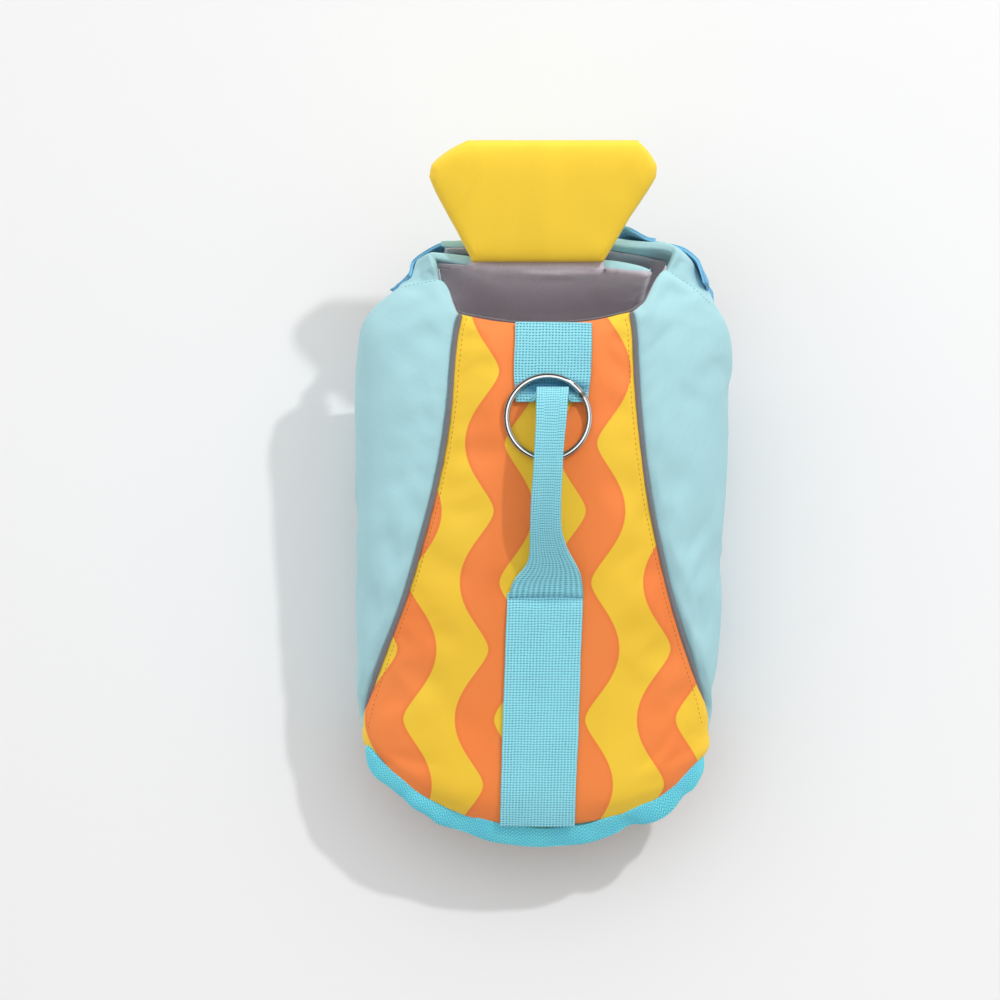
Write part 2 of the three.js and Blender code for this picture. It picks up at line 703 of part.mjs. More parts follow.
// Closed ribbon through stations: each has a place, a sideways direction, half a width and half a
// thickness, and its outside is on the side of (way along) x (sideways)
function ribbon(stations) {
  const outer = [];
  const inner = [];
  for (let i = 0; i < stations.length; i += 1) {
    const before = stations[Math.max(i - 1, 0)].place;
    const after = stations[Math.min(i + 1, stations.length - 1)].place;
    const tangent = after.clone().sub(before).normalize();
    const { place, sideways, half, thick } = stations[i];
    const normal = tangent.cross(sideways).normalize();
    const at = (side, face) =>
      place.clone().addScaledVector(sideways, side * half).addScaledVector(normal, face * thick);
    outer.push([at(-1, 1), at(0, 1), at(1, 1)]);
    inner.push([at(-1, -1), at(0, -1), at(1, -1)]);
  }
  return wallBetween(outer, inner);
}

// Place on the outside of a chest wall, moved out, with the directions there
function onChest({ wall, along, up }, outBy) {
  const nudge = 0.01;
  const at = (a, b) => chestAt(wall, b, a);
  const normal = normalAt(at, up, along, nudge);
  const place = at(up, along).addScaledVector(normal, outBy);
  const upwards = at(up + nudge, along).sub(at(up - nudge, along)).normalize();
  return { place, normal, upwards };
}

function addChestStrap() {
  const lift = SEAM_GAP + WEBBING / 2;
  const route = CHEST_STRAP_ROUTE.flatMap(({ wall, from, to, upFrom, upTo, rows }) =>
    Array.from({ length: rows }, (_, i) => {
      const part = i / (rows - 1);
      return onChest({ wall, along: mix(from, to, part), up: mix(upFrom, upTo, part) }, lift);
    }),
  );
  const places = new THREE.CatmullRomCurve3(route.map(({ place }) => place));
  const ups = new THREE.CatmullRomCurve3(route.map(({ upwards }) => upwards));
  const count = 48;
  const stations = [];
  for (let i = 0; i <= count; i += 1) {
    stations.push({
      place: places.getPoint(i / count),
      sideways: ups.getPoint(i / count).normalize().negate(),
      half: CHEST_STRAP_WIDTH / 2,
      thick: WEBBING / 2,
    });
  }
  add("chest_strap", ribbon(stations), COLOURS.blue);
}

// Loose end of the chest strap, from the buckle up past the edge of the neck strap
function addChestStrapEnd() {
  const lift = 2 * SEAM_GAP + WEBBING * 1.5 + 0.5;
  const stations = CHEST_STRAP_END.map(({ along, up, half }) => {
    const { place, normal } = onChest({ wall: NECK_STRAP, along, up }, lift);
    return { place, normal, half, thick: WEBBING / 2 };
  });
  stations.forEach((station, i) => {
    const before = stations[Math.max(i - 1, 0)].place;
    const after = stations[Math.min(i + 1, stations.length - 1)].place;
    station.sideways = station.normal.clone().cross(after.clone().sub(before)).normalize();
  });
  add("chest_strap_end", ribbon(stations), COLOURS.blue);
}

// Side-release buckle: a flat body with a window at each side where its prongs show
function buckleGeometry(strapWidth) {
  const length = strapWidth * 0.78;
  const width = strapWidth * 0.64;
  const waist = width * 0.8;
  const corner = 3;
  const half = [
    [-length + corner, width],
    [-length * 0.25, width],
    [-length * 0.12, waist],
    [length * 0.32, waist],
    [length * 0.45, width],
    [length - corner, width],
    [length, width - corner],
  ];
  const outline = new THREE.Shape();
  outline.moveTo(-length, width - corner);
  half.forEach(([x, y]) => outline.lineTo(x, y));
  [...half].reverse().forEach(([x, y]) => outline.lineTo(x, -y));
  outline.lineTo(-length, -(width - corner));
  outline.closePath();
  const depth = BUCKLE_WALL - 2 * BUCKLE_BEVEL;
  const geometry = new THREE.ExtrudeGeometry(outline, {
    depth,
    bevelThickness: BUCKLE_BEVEL,
    bevelSize: BUCKLE_BEVEL,
    bevelOffset: -BUCKLE_BEVEL,
    bevelSegments: 2,
  });
  return geometry.translate(0, 0, BUCKLE_BEVEL);
}

function placeBuckle(name, strapWidth, { place, normal, along }) {
  const across = normal.clone().cross(along).normalize();
  const lengthwise = across.clone().cross(normal).normalize();
  const geometry = buckleGeometry(strapWidth);
  geometry.applyMatrix4(new THREE.Matrix4().makeBasis(lengthwise, across, normal).setPosition(place));
  add(name, geometry, COLOURS.plastic, 0.5);
}

function addChestBuckle() {
  const lift = 2 * SEAM_GAP + WEBBING + 0.6;
  const { place, normal, upwards } = onChest({ wall: NECK_STRAP, ...CHEST_BUCKLE }, lift);
  placeBuckle("chest_buckle", CHEST_STRAP_WIDTH, { place, normal, along: upwards.cross(normal) });
}

// Belly straps: from the right side panel over the lower seam to the belly panel, with a buckle
function onFlank(y, belowSeam, outBy) {
  const arc = bellyArc(y, "right") + belowSeam;
  const normal = skinNormal(y, arc);
  const puff = belowSeam < 0 ? PUFF * swell(-belowSeam) : 0;
  return { place: skin(y, arc).addScaledVector(normal, puff + outBy), normal };
}

function addBellyStrap({ name, y }) {
  const count = 14;
  const stations = [];
  for (let i = 0; i <= count; i += 1) {
    const below = mix(-BELLY_STRAP_ENDS.above, BELLY_STRAP_ENDS.below, i / count);
    const { place } = onFlank(y, below, SEAM_GAP + WEBBING / 2 + 0.4);
    stations.push({
      place,
      sideways: new THREE.Vector3(0, 1, 0),
      half: BELLY_STRAP_WIDTH / 2,
      thick: WEBBING / 2,
    });
  }
  add(`belly_strap_${name}`, ribbon(stations), COLOURS.turquoise);
  const lift = 2 * SEAM_GAP + WEBBING + BELLY_BUCKLE_LIFT;
  const { place, normal } = onFlank(y, -BELLY_BUCKLE_PLACE, lift);
  const along = new THREE.Vector3(0, 1, 0).cross(normal);
  placeBuckle(`belly_buckle_${name}`, BELLY_STRAP_WIDTH, { place, normal, along });
}

// Handle: the webbing folded to half its width, raised in an arch over the leash ring
const HANDLE = [
  { y: 57.3, rise: 1.2, width: 37, wall: 1.6 },
  { y: 54.6, rise: 1.2, width: 25, wall: 1.6 },
  { y: 51.8, rise: 1.5, width: 21, wall: 1.8 },
  { y: 50.2, rise: 2.8, width: 20.4, wall: 2.4 },
  { y: 50.6, rise: 5.6, width: HANDLE_WIDTH, wall: HANDLE_WALL },
  { y: 52.1, rise: 9, width: HANDLE_WIDTH, wall: HANDLE_WALL },
  { y: 52.3, rise: 13.4, width: HANDLE_WIDTH, wall: HANDLE_WALL },
  { y: 48.6, rise: 17.8, width: HANDLE_WIDTH, wall: HANDLE_WALL },
  { y: 40, rise: HANDLE_HEIGHT, width: HANDLE_WIDTH, wall: HANDLE_WALL },
  { y: 28, rise: HANDLE_HEIGHT + 1.2, width: HANDLE_WIDTH, wall: HANDLE_WALL },
  { y: 14, rise: HANDLE_HEIGHT + 1, width: HANDLE_WIDTH, wall: HANDLE_WALL },
  { y: 0, rise: HANDLE_HEIGHT - 1, width: HANDLE_WIDTH, wall: HANDLE_WALL },
  { y: -14, rise: 15, width: HANDLE_WIDTH, wall: HANDLE_WALL },
  { y: -26, rise: 9.6, width: 19, wall: HANDLE_WALL },
  { y: -36, rise: 4.6, width: 23, wall: 2.6 },
  { y: -42, rise: 2.2, width: 30, wall: 2 },
  { y: -47, rise: 1.3, width: 36, wall: 1.6 },
];

function addHandle() {
  const sideways = new THREE.Vector3(1, 0, 0);
  const stations = HANDLE.map(({ y, rise, width, wall }) => {
    const top = backTopAt(webbingX(y), y);
    return { place: top.setZ(top.z + rise), sideways, half: width / 2, thick: wall / 2 };
  });
  add("handle", ribbon(stations), COLOURS.turquoise);
}

// Leash ring: it lies on the front webbing and on the panel, round the root of the handle
function addRing() {
  const radius = (RING_INSIDE + RING_WIRE) / 2;
  const rear = backTopAt(RING_PLACE.x, RING_PLACE.y - radius);
  const front = backTopAt(RING_PLACE.x, RING_PLACE.y + radius);
  rear.z += RING_WIRE / 2 + RING_LIFT;
  front.z += RING_WIRE / 2 + WEBBING + RING_LIFT;
  const geometry = new THREE.TorusGeometry(radius, RING_WIRE / 2, 8, 32);
  geometry.rotateX(Math.atan2(front.z - rear.z, 2 * radius));
  geometry.translate(RING_PLACE.x, RING_PLACE.y, (front.z + rear.z) / 2);
  add("leash_ring", geometry, COLOURS.steel, 0.25, 1);
}

addBackPanel();
addSidePanel("left");
addSidePanel("right");
addBellyPanel();
addPiping("left");
addPiping("right");
addNeckBinding();
addHemBinding();
addChestWall("chest_flap", CHEST_FLAP, 28);
addChestLining("chest_flap_lining", CHEST_FLAP, FLAP_LINING, 20);
addChestWall("neck_strap", NECK_STRAP, 26);
addChestLining("neck_strap_lining", NECK_STRAP, NECK_STRAP_LINING, 20);
addChestStrap();
addChestStrapEnd();
addChestBuckle();
BELLY_STRAPS.forEach(addBellyStrap);
addChinFloat();
addFlatWebbing("webbing_front", 57.7, 86.5, 8);
addFlatWebbing("webbing_rear", -163, -48.4, 16);
addHandle();
addRing();

export default jacket;
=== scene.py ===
import math

import bmesh
import bpy
import numpy as np
from mathutils import Matrix, Vector, noise
from mathutils.bvhtree import BVHTree


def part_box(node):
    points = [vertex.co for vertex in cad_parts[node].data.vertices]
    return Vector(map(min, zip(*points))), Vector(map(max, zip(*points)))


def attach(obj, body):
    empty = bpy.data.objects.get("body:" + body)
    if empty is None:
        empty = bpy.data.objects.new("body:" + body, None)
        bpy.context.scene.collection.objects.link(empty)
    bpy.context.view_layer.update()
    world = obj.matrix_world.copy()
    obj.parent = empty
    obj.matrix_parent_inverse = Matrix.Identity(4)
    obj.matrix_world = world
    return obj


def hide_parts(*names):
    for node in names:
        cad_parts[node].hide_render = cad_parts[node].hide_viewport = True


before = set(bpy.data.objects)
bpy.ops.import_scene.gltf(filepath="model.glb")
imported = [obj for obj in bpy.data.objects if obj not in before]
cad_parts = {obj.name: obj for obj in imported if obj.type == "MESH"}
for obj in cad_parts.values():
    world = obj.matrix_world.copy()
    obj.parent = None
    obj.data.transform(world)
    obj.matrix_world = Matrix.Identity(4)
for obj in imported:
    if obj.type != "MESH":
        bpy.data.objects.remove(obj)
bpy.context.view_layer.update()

# Dog life jacket seen from straight above. Metres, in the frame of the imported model.

MM = 0.001
CAMERA_HEIGHT = 2.2
WELD_PLACE = (0.0188, 0.0508, 0.102)
# Painted shade in the folds where the handle leaves the flat webbing: place, how far each way
# counts, and depth of the painted shade
PAINTED_FOLD_SHADE = [
    ((0.0040, 0.0545, 0.0955), (0.24, 1.0, 0.5), 0.9),
    ((0.0025, -0.0508, 0.0965), (0.15, 1.3, 0.4), 0.5),
]
CAMERA_PLACE = (-0.0221, -0.0017)
VIEW_WIDTH = 0.5226
SENSOR = 36.0
UV_NAME = "cut"
# Height of the middle of the dog's body, and a height above all of the jacket
BODY_MIDDLE = 55 * MM
ABOVE_ALL = 300 * MM

KEY_PLACE = (1.25, 1.52, 1.95)
KEY_SIZE = 0.12
KEY_WATTS = 27
ROOM_LOW = 0.47
ROOM_HIGH = 0.87
ROOM_LEAN = 0.85
ROOM_SIDE = 0.22

# Print: wavy bands that lean with the webbing
BAND_PITCH = 46.1 * MM
BAND_HALF = 10.0 * MM
BAND_PLACE = -15.35 * MM
BAND_LEAN = 0.039
WAVE_HEIGHT = 7.8 * MM
WAVE_LENGTH = 69.8 * MM
WAVE_PLACE = -7.7 * MM

scene = bpy.context.scene
scene.view_settings.view_transform = "Standard"


# Stage: camera, floor and light


def set_stage():
    eye = bpy.data.cameras.new("camera")
    eye.sensor_width = SENSOR
    eye.lens = SENSOR * CAMERA_HEIGHT / VIEW_WIDTH
    eye.clip_start = 0.1
    camera = bpy.data.objects.new("camera", eye)
    camera.location = (*CAMERA_PLACE, CAMERA_HEIGHT)
    scene.collection.objects.link(camera)
    scene.camera = camera

    bpy.ops.object.select_all(action="DESELECT")
    bpy.ops.mesh.primitive_plane_add(size=8, location=(0, 0, 0))
    floor = bpy.context.object
    floor.name = "floor"
    floor.data.materials.append(floor_paint())

    world = bpy.data.worlds.new("room")
    world.use_nodes = True
    tree = world.node_tree
    all_round = tree.nodes.new("ShaderNodeTexCoord").outputs["Generated"]
    direction = put(tree, "ShaderNodeSeparateXYZ", all_round)
    glow = step(tree, direction.outputs[2], -0.1, 0.55, ROOM_LOW, ROOM_HIGH)
    leaning = calc(tree, "MULTIPLY_ADD", direction.outputs[1], ROOM_LEAN, 1.0)
    leaning = calc(tree, "MULTIPLY_ADD", direction.outputs[0], -ROOM_SIDE, leaning)
    glow = calc(tree, "MULTIPLY", glow, leaning)
    mirrored = calc(tree, "ADD", step(tree, direction.outputs[2], 0.8, 0.92, 0.05, 1.9),
                    step(tree, direction.outputs[0], 0.6, 0.8, 0.0, 0.9))
    rays = tree.nodes.new("ShaderNodeLightPath")
    picked = put(tree, "ShaderNodeMix", rays.outputs["Is Glossy Ray"], None, glow, mirrored)
    tree.nodes["Background"].inputs["Color"].default_value = (1, 1, 1, 1)
    tree.links.new(picked.outputs[0], tree.nodes["Background"].inputs["Strength"])
    scene.world = world

    lamp("key", KEY_PLACE, KEY_SIZE, KEY_WATTS)


def lamp(name, place, size, watts):
    data = bpy.data.lights.new(name, "AREA")
    data.shape = "DISK"
    data.size = size
    data.energy = watts
    light = bpy.data.objects.new(name, data)
    light.location = place
    light.rotation_euler = Vector(place).to_track_quat("Z", "Y").to_euler()
    scene.collection.objects.link(light)


# Finishes


def tree_of(name, roughness, sheen=0.0, specular=0.5, metallic=0.0):
    paint = bpy.data.materials.new(name)
    paint.use_nodes = True
    shader = paint.node_tree.nodes["Principled BSDF"]
    shader.inputs["Roughness"].default_value = roughness
    shader.inputs["Metallic"].default_value = metallic
    shader.inputs["Specular IOR Level"].default_value = specular
    shader.inputs["Sheen Weight"].default_value = sheen
    return paint, paint.node_tree, shader


def feed(tree, sockets, values):
    """Sets sockets to numbers or joins them to other sockets; None leaves one as it is."""
    for socket, value in zip(sockets, values):
        if isinstance(value, bpy.types.NodeSocket):
            tree.links.new(value, socket)
        elif value is not None:
            socket.default_value = value


def put(tree, kind, *values, **settings):
    """A node with its first inputs fed in order."""
    made = tree.nodes.new(kind)
    for key, value in settings.items():
        setattr(made, key, value)
    feed(tree, made.inputs, values)
    return made


def calc(tree, operation, *values):
    return put(tree, "ShaderNodeMath", *values, operation=operation).outputs[0]


def humps(tree, value, kind="SINE"):
    return calc(tree, "ABSOLUTE", calc(tree, kind, value))


def blend(tree, share, low, high):
    """Colour between two others, by a share from 0 to 1."""
    mixer = put(tree, "ShaderNodeMix", data_type="RGBA")
    feed(tree, [mixer.inputs[i] for i in (0, 6, 7)], (share, low, high))
    return mixer.outputs[2]


def step(tree, value, low, high, out_low=0.0, out_high=1.0):
    return put(tree, "ShaderNodeMapRange", value, low, high, out_low, out_high,
               interpolation_type="SMOOTHSTEP").outputs[0]


def rgb(text, shade=1.0):
    """Linear colour from the hexadecimal colour of a swatch."""
    parts = [int(text[i:i + 2], 16) / 255 for i in (0, 2, 4)]
    linear = [p / 12.92 if p <= 0.04045 else ((p + 0.055) / 1.055) ** 2.4 for p in parts]
    return (*[shade * p for p in linear], 1)


def cut_place(tree):
    """Place on the flat cut cloth, in metres."""
    place = put(tree, "ShaderNodeUVMap", uv_map=UV_NAME).outputs[0]
    parts = put(tree, "ShaderNodeSeparateXYZ", place)
    return place, parts.outputs[0], parts.outputs[1]


def room_place(tree):
    place = tree.nodes.new("ShaderNodeTexCoord").outputs["Object"]
    parts = put(tree, "ShaderNodeSeparateXYZ", place)
    return place, parts.outputs[0], parts.outputs[1]


def cloud(tree, place, size, detail=2.0, roughness=0.5):
    texture = put(tree, "ShaderNodeTexNoise", place, noise_dimensions="3D")
    texture.inputs["Scale"].default_value = 1 / size
    texture.inputs["Detail"].default_value = detail
    texture.inputs["Roughness"].default_value = roughness
    return texture.outputs[0]


def plain_weave(tree, across, along, wide, tall):
    """Height from 0 to 1 of threads that pass over and under each other."""
    x = calc(tree, "MULTIPLY", across, math.pi / wide)
    y = calc(tree, "MULTIPLY", along, math.pi / tall)
    warp = humps(tree, x)
    weft = humps(tree, y)
    sides = calc(tree, "MULTIPLY", calc(tree, "COSINE", x), calc(tree, "COSINE", y))
    over = step(tree, sides, -0.25, 0.25)
    rows = calc(tree, "MULTIPLY", calc(tree, "SUBTRACT", 1.0, over), warp)
    return calc(tree, "ADD", calc(tree, "MULTIPLY", over, weft), rows)


def distance(tree, place, other):
    return put(tree, "ShaderNodeVectorMath", place, other, operation="DISTANCE").outputs["Value"]


def bump(tree, shader, height, depth, before=None, strength=1.0):
    made = tree.nodes.new("ShaderNodeBump")
    made.inputs["Strength"].default_value = strength
    made.inputs["Distance"].default_value = depth
    tree.links.new(height, made.inputs["Height"])
    if before is not None:
        tree.links.new(before, made.inputs["Normal"])
    tree.links.new(made.outputs[0], shader.inputs["Normal"])
    return made.outputs[0]


def colour(tree, shader, base, tone):
    """Gives the shader a base colour made lighter or darker by a tone round 1."""
    scaled = put(tree, "ShaderNodeVectorMath", base, None, operation="SCALE")
    tree.links.new(tone, scaled.inputs["Scale"])
    tree.links.new(scaled.outputs[0], shader.inputs["Base Color"])


def floor_paint():
    paint, tree, shader = tree_of("pale_floor", 0.9, specular=0.1)
    place, _, _ = room_place(tree)
    tone = blend(tree, cloud(tree, place, 0.4), (0.835, 0.835, 0.84, 1), (0.855, 0.855, 0.86, 1))
    tree.links.new(tone, shader.inputs["Base Color"])
    return paint


def cloth(name, light, deep, thread, roughness=0.8, sheen=0.1, tone=0.05, depth=0.12 * MM):
    """Woven cloth of one colour: fine threads, uneven dye and small slubs."""
    paint, tree, shader = tree_of(name, roughness, sheen, 0.25)
    place, across, along = cut_place(tree)
    threads = plain_weave(tree, across, along, thread, thread)
    slub = put(tree, "ShaderNodeMapping", place)
    slub.inputs["Scale"].default_value = (1.0, 6.0, 1.0)
    streaks = cloud(tree, slub.outputs[0], 9 * MM, 3.0, 0.6)
    patches = cloud(tree, place, 45 * MM, 2.0)
    streaks = calc(tree, "MULTIPLY", streaks, 0.5)
    share = calc(tree, "ADD", calc(tree, "MULTIPLY", threads, 0.55), streaks)
    base = blend(tree, share, rgb(deep), rgb(light))
    colour(tree, shader, base, step(tree, patches, 0.3, 0.7, 1 - tone, 1 + tone))
    soft = bump(tree, shader, patches, 0.5 * MM, strength=0.4)
    bump(tree, shader, threads, depth, soft)
    return paint


def band_line(tree, y):
    """X of a band's middle and its slope at a given Y."""
    turn = calc(tree, "MULTIPLY", calc(tree, "SUBTRACT", y, WAVE_PLACE), 2 * math.pi / WAVE_LENGTH)
    wave = calc(tree, "SUBTRACT", calc(tree, "COSINE", turn), 1.0)
    wave = calc(tree, "MULTIPLY", wave, WAVE_HEIGHT)
    lean = calc(tree, "MULTIPLY", calc(tree, "SUBTRACT", y, WAVE_PLACE), BAND_LEAN)
    middle = calc(tree, "ADD", calc(tree, "ADD", wave, lean), BAND_PLACE)
    steep = -WAVE_HEIGHT * 2 * math.pi / WAVE_LENGTH
    slope = calc(tree, "MULTIPLY_ADD", calc(tree, "SINE", turn), steep, BAND_LEAN)
    return middle, slope


def printed_paint():
    paint, tree, shader = tree_of("printed_cloth", 0.62, 0.08, 0.3)
    place, x, y = room_place(tree)
    middle, slope = band_line(tree, y)
    off = calc(tree, "SUBTRACT", x, middle)
    turned = calc(tree, "ADD", off, BAND_PITCH / 2)
    near = calc(tree, "SUBTRACT", calc(tree, "FLOORED_MODULO", turned, BAND_PITCH), BAND_PITCH / 2)
    shift = calc(tree, "SUBTRACT", calc(tree, "SUBTRACT", x, near), middle)
    across = calc(tree, "SUBTRACT", x, shift)
    foot = y
    gap, back = calc(tree, "SUBTRACT", across, middle), calc(tree, "SUBTRACT", y, foot)
    for _ in range(3):
        squared = calc(tree, "MULTIPLY_ADD", slope, slope, 1.0)
        along = calc(tree, "ADD", calc(tree, "MULTIPLY", gap, slope), back)
        foot = calc(tree, "MULTIPLY_ADD", calc(tree, "DIVIDE", along, squared), 0.8, foot)
        middle, slope = band_line(tree, foot)
        gap, back = calc(tree, "SUBTRACT", across, middle), calc(tree, "SUBTRACT", y, foot)
    squares = [calc(tree, "MULTIPLY", value, value) for value in (gap, back)]
    far = calc(tree, "SQRT", calc(tree, "ADD", *squares))
    band = step(tree, far, BAND_HALF + 0.25 * MM, BAND_HALF - 0.25 * MM)
    rim = calc(tree, "MULTIPLY", step(tree, far, BAND_HALF - 2.6 * MM, BAND_HALF - 0.4 * MM), 0.55)
    _, across, down = cut_place(tree)
    threads = plain_weave(tree, across, down, 0.45 * MM, 0.45 * MM)
    patches = cloud(tree, place, 60 * MM, 2.0)
    yellow = blend(tree, step(tree, patches, 0.3, 0.7), rgb("f8cb36"), rgb("fcd33d"))
    orange = blend(tree, step(tree, patches, 0.3, 0.7), rgb("fb8542"), rgb("ff8d49"))
    orange = blend(tree, rim, orange, rgb("f27a3a"))
    base = blend(tree, band, yellow, orange)
    base = blend(tree, calc(tree, "MULTIPLY", threads, 0.12), base, rgb("d98a28"))
    # Painted light: the print is lightened towards the tail, where the room light is weaker
    colour(tree, shader, base, step(tree, y, -60 * MM, -150 * MM, 1.0, 1.12))
    soft = bump(tree, shader, patches, 0.6 * MM, strength=0.3)
    bump(tree, shader, threads, 0.05 * MM, soft)
    return paint


def webbing_paint(name, light, dark, wide=1.6 * MM, tall=1.38 * MM):
    """Coarse webbing: an even grid of light floats with short dark gaps between them, with painted
    shade at the handle's folds and painted light along its length.
    """
    paint, tree, shader = tree_of(name, 0.75, 0.15, 0.3)
    place, across, along = cut_place(tree)
    drift = calc(tree, "SUBTRACT", cloud(tree, place, 9 * MM), 0.5)
    row = calc(tree, "DIVIDE", calc(tree, "MULTIPLY_ADD", drift, 0.9 * MM, along), tall)
    column = calc(tree, "DIVIDE", calc(tree, "MULTIPLY_ADD", drift, 0.7 * MM, across), wide)
    lying = humps(tree, calc(tree, "MULTIPLY", row, math.pi))
    standing = humps(tree, calc(tree, "MULTIPLY", column, math.pi), "COSINE")
    gap = step(tree, lying, 0.72, 0.25)
    dash = step(tree, standing, 0.3, 0.85, 0.15, 1.0)
    groove = step(tree, standing, 0.86, 1.0, 0.0, 0.35)
    spots = cloud(tree, place, 1.3 * MM, 2.0)
    hidden = calc(tree, "MAXIMUM", calc(tree, "MULTIPLY", gap, dash), groove)
    threads = calc(tree, "SUBTRACT", 1.0, hidden)
    share = calc(tree, "MULTIPLY_ADD", calc(tree, "SUBTRACT", spots, 0.5), 0.7, threads)
    patches = cloud(tree, place, 14 * MM)
    share = calc(tree, "MULTIPLY_ADD", calc(tree, "SUBTRACT", patches, 0.5), 0.25, share)
    base = blend(tree, step(tree, share, -0.1, 0.95), rgb(dark), rgb(light))
    at, _, y = room_place(tree)
    # Painted shade: the webbing darkens to deep blue round each fold place, where shadow falls
    for fold, counts, shade in PAINTED_FOLD_SHADE:
        scaled = put(tree, "ShaderNodeVectorMath", at, counts, operation="MULTIPLY").outputs[0]
        middle = [a * b for a, b in zip(fold, counts)]
        apart = distance(tree, scaled, middle)
        base = blend(tree, step(tree, apart, 6.4 * MM, 3.0 * MM, 0.0, shade), base, rgb("14668f"))
    # Painted light: the webbing is darkened towards the neck and lightened towards the tail,
    # against the room light that is brighter at the front
    colour(tree, shader, base, step(tree, y, 80 * MM, -150 * MM, 0.87, 1.03))
    bump(tree, shader, threads, 0.22 * MM)
    return paint


def tape_paint():
    """Hem tape in a fine herringbone twill."""
    paint, tree, shader = tree_of("hem_tape", 0.7, 0.0, 0.25)
    place, across, along = cut_place(tree)
    folded = calc(tree, "PINGPONG", along, 1.7 * MM)
    line = calc(tree, "ADD", folded, calc(tree, "MULTIPLY", across, 0.8))
    twill = humps(tree, calc(tree, "MULTIPLY", line, math.pi / (1.45 * MM)))
    ribs = humps(tree, calc(tree, "MULTIPLY", along, math.pi / (1.4 * MM)))
    ribs = calc(tree, "MULTIPLY_ADD", ribs, 0.3, 0.7)
    threads = calc(tree, "MULTIPLY", calc(tree, "POWER", twill, 0.7), ribs)
    patches = cloud(tree, place, 14 * MM)
    base = blend(tree, threads, rgb("1fb9d6"), rgb("8cf4ff"))
    base = blend(tree, step(tree, patches, 0.35, 0.75, 0.0, 0.4), base, rgb("62ccf2"))
    tree.links.new(base, shader.inputs["Base Color"])
    bump(tree, shader, threads, 0.16 * MM)
    return paint


def steel_paint():
    """Polished steel wire with fine wear and the dull bead of its weld."""
    paint, tree, shader = tree_of("polished_steel", 0.12, metallic=1.0)
    place, _, _ = room_place(tree)
    marks = cloud(tree, place, 1.2 * MM, 4.0, 0.7)
    weld = step(tree, distance(tree, place, WELD_PLACE), 2.2 * MM, 1.2 * MM)
    steel = blend(tree, marks, rgb("a6a5a6"), rgb("dcdcde"))
    tree.links.new(blend(tree, weld, steel, rgb("6d6a66")), shader.inputs["Base Color"])
    worn = step(tree, marks, 0.2, 0.8, 0.05, 0.14)
    tree.links.new(calc(tree, "MULTIPLY_ADD", weld, 0.3, worn), shader.inputs["Roughness"])
    bump(tree, shader, marks, 0.012 * MM, strength=0.4)
    return paint


def plastic_paint():
    paint, tree, shader = tree_of("buckle_plastic", 0.38, specular=0.5)
    place, _, _ = room_place(tree)
    grain = cloud(tree, place, 0.5 * MM, 3.0)
    tree.links.new(blend(tree, grain, rgb("3f9db2"), rgb("5cb8ca")), shader.inputs["Base Color"])
    tree.links.new(step(tree, grain, 0.2, 0.8, 0.3, 0.5), shader.inputs["Roughness"])
    bump(tree, shader, grain, 0.03 * MM)
    return paint


def thread_paint(name, light, deep):
    paint, tree, shader = tree_of(name, 0.6, 0.2, 0.3)
    place, _, _ = room_place(tree)
    base = blend(tree, cloud(tree, place, 0.4 * MM), rgb(deep), rgb(light))
    tree.links.new(base, shader.inputs["Base Color"])
    return paint


# Working on meshes


def select(*pieces):
    bpy.ops.object.select_all(action="DESELECT")
    for piece in pieces:
        piece.select_set(True)
    bpy.context.view_layer.objects.active = pieces[0]


def edit(piece, *steps_of_work):
    """Runs the steps on all of a piece in edit mode."""
    select(piece)
    bpy.ops.object.mode_set(mode="EDIT")
    bpy.ops.mesh.select_all(action="SELECT")
    for work in steps_of_work:
        work()
    bpy.ops.object.mode_set(mode="OBJECT")


def smooth_copy(node, name):
    """The node's mesh as a new piece of four-sided faces."""
    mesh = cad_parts[node].data.copy()
    mesh.name = name
    mesh.materials.clear()
    piece = bpy.data.objects.new(name, mesh)
    scene.collection.objects.link(piece)
    edit(
        piece,
        lambda: bpy.ops.mesh.remove_doubles(threshold=0.02 * MM),
        lambda: bpy.ops.mesh.tris_convert_to_quads(
            face_threshold=math.radians(60), shape_threshold=math.radians(75)
        ),
        lambda: bpy.ops.mesh.normals_make_consistent(inside=False),
    )
    for layer in list(mesh.uv_layers):
        mesh.uv_layers.remove(layer)
    mesh.uv_layers.new(name=UV_NAME)
    return piece


def apply(piece, modifier):
    select(piece)
    bpy.ops.object.modifier_apply(modifier=modifier.name)


def subdivide(piece, levels=1):
    rounder = piece.modifiers.new("Round", "SUBSURF")
    rounder.levels = rounder.render_levels = levels
    apply(piece, rounder)


def places(piece):
    flat = np.zeros(len(piece.data.vertices) * 3)
    piece.data.vertices.foreach_get("co", flat)
    return flat.reshape(-1, 3)


def move(piece, new_places):
    piece.data.vertices.foreach_set("co", np.asarray(new_places, float).ravel())
    piece.data.update()


def normals(piece):
    flat = np.zeros(len(piece.data.vertices) * 3)
    piece.data.vertex_normals.foreach_get("vector", flat)
    return flat.reshape(-1, 3)


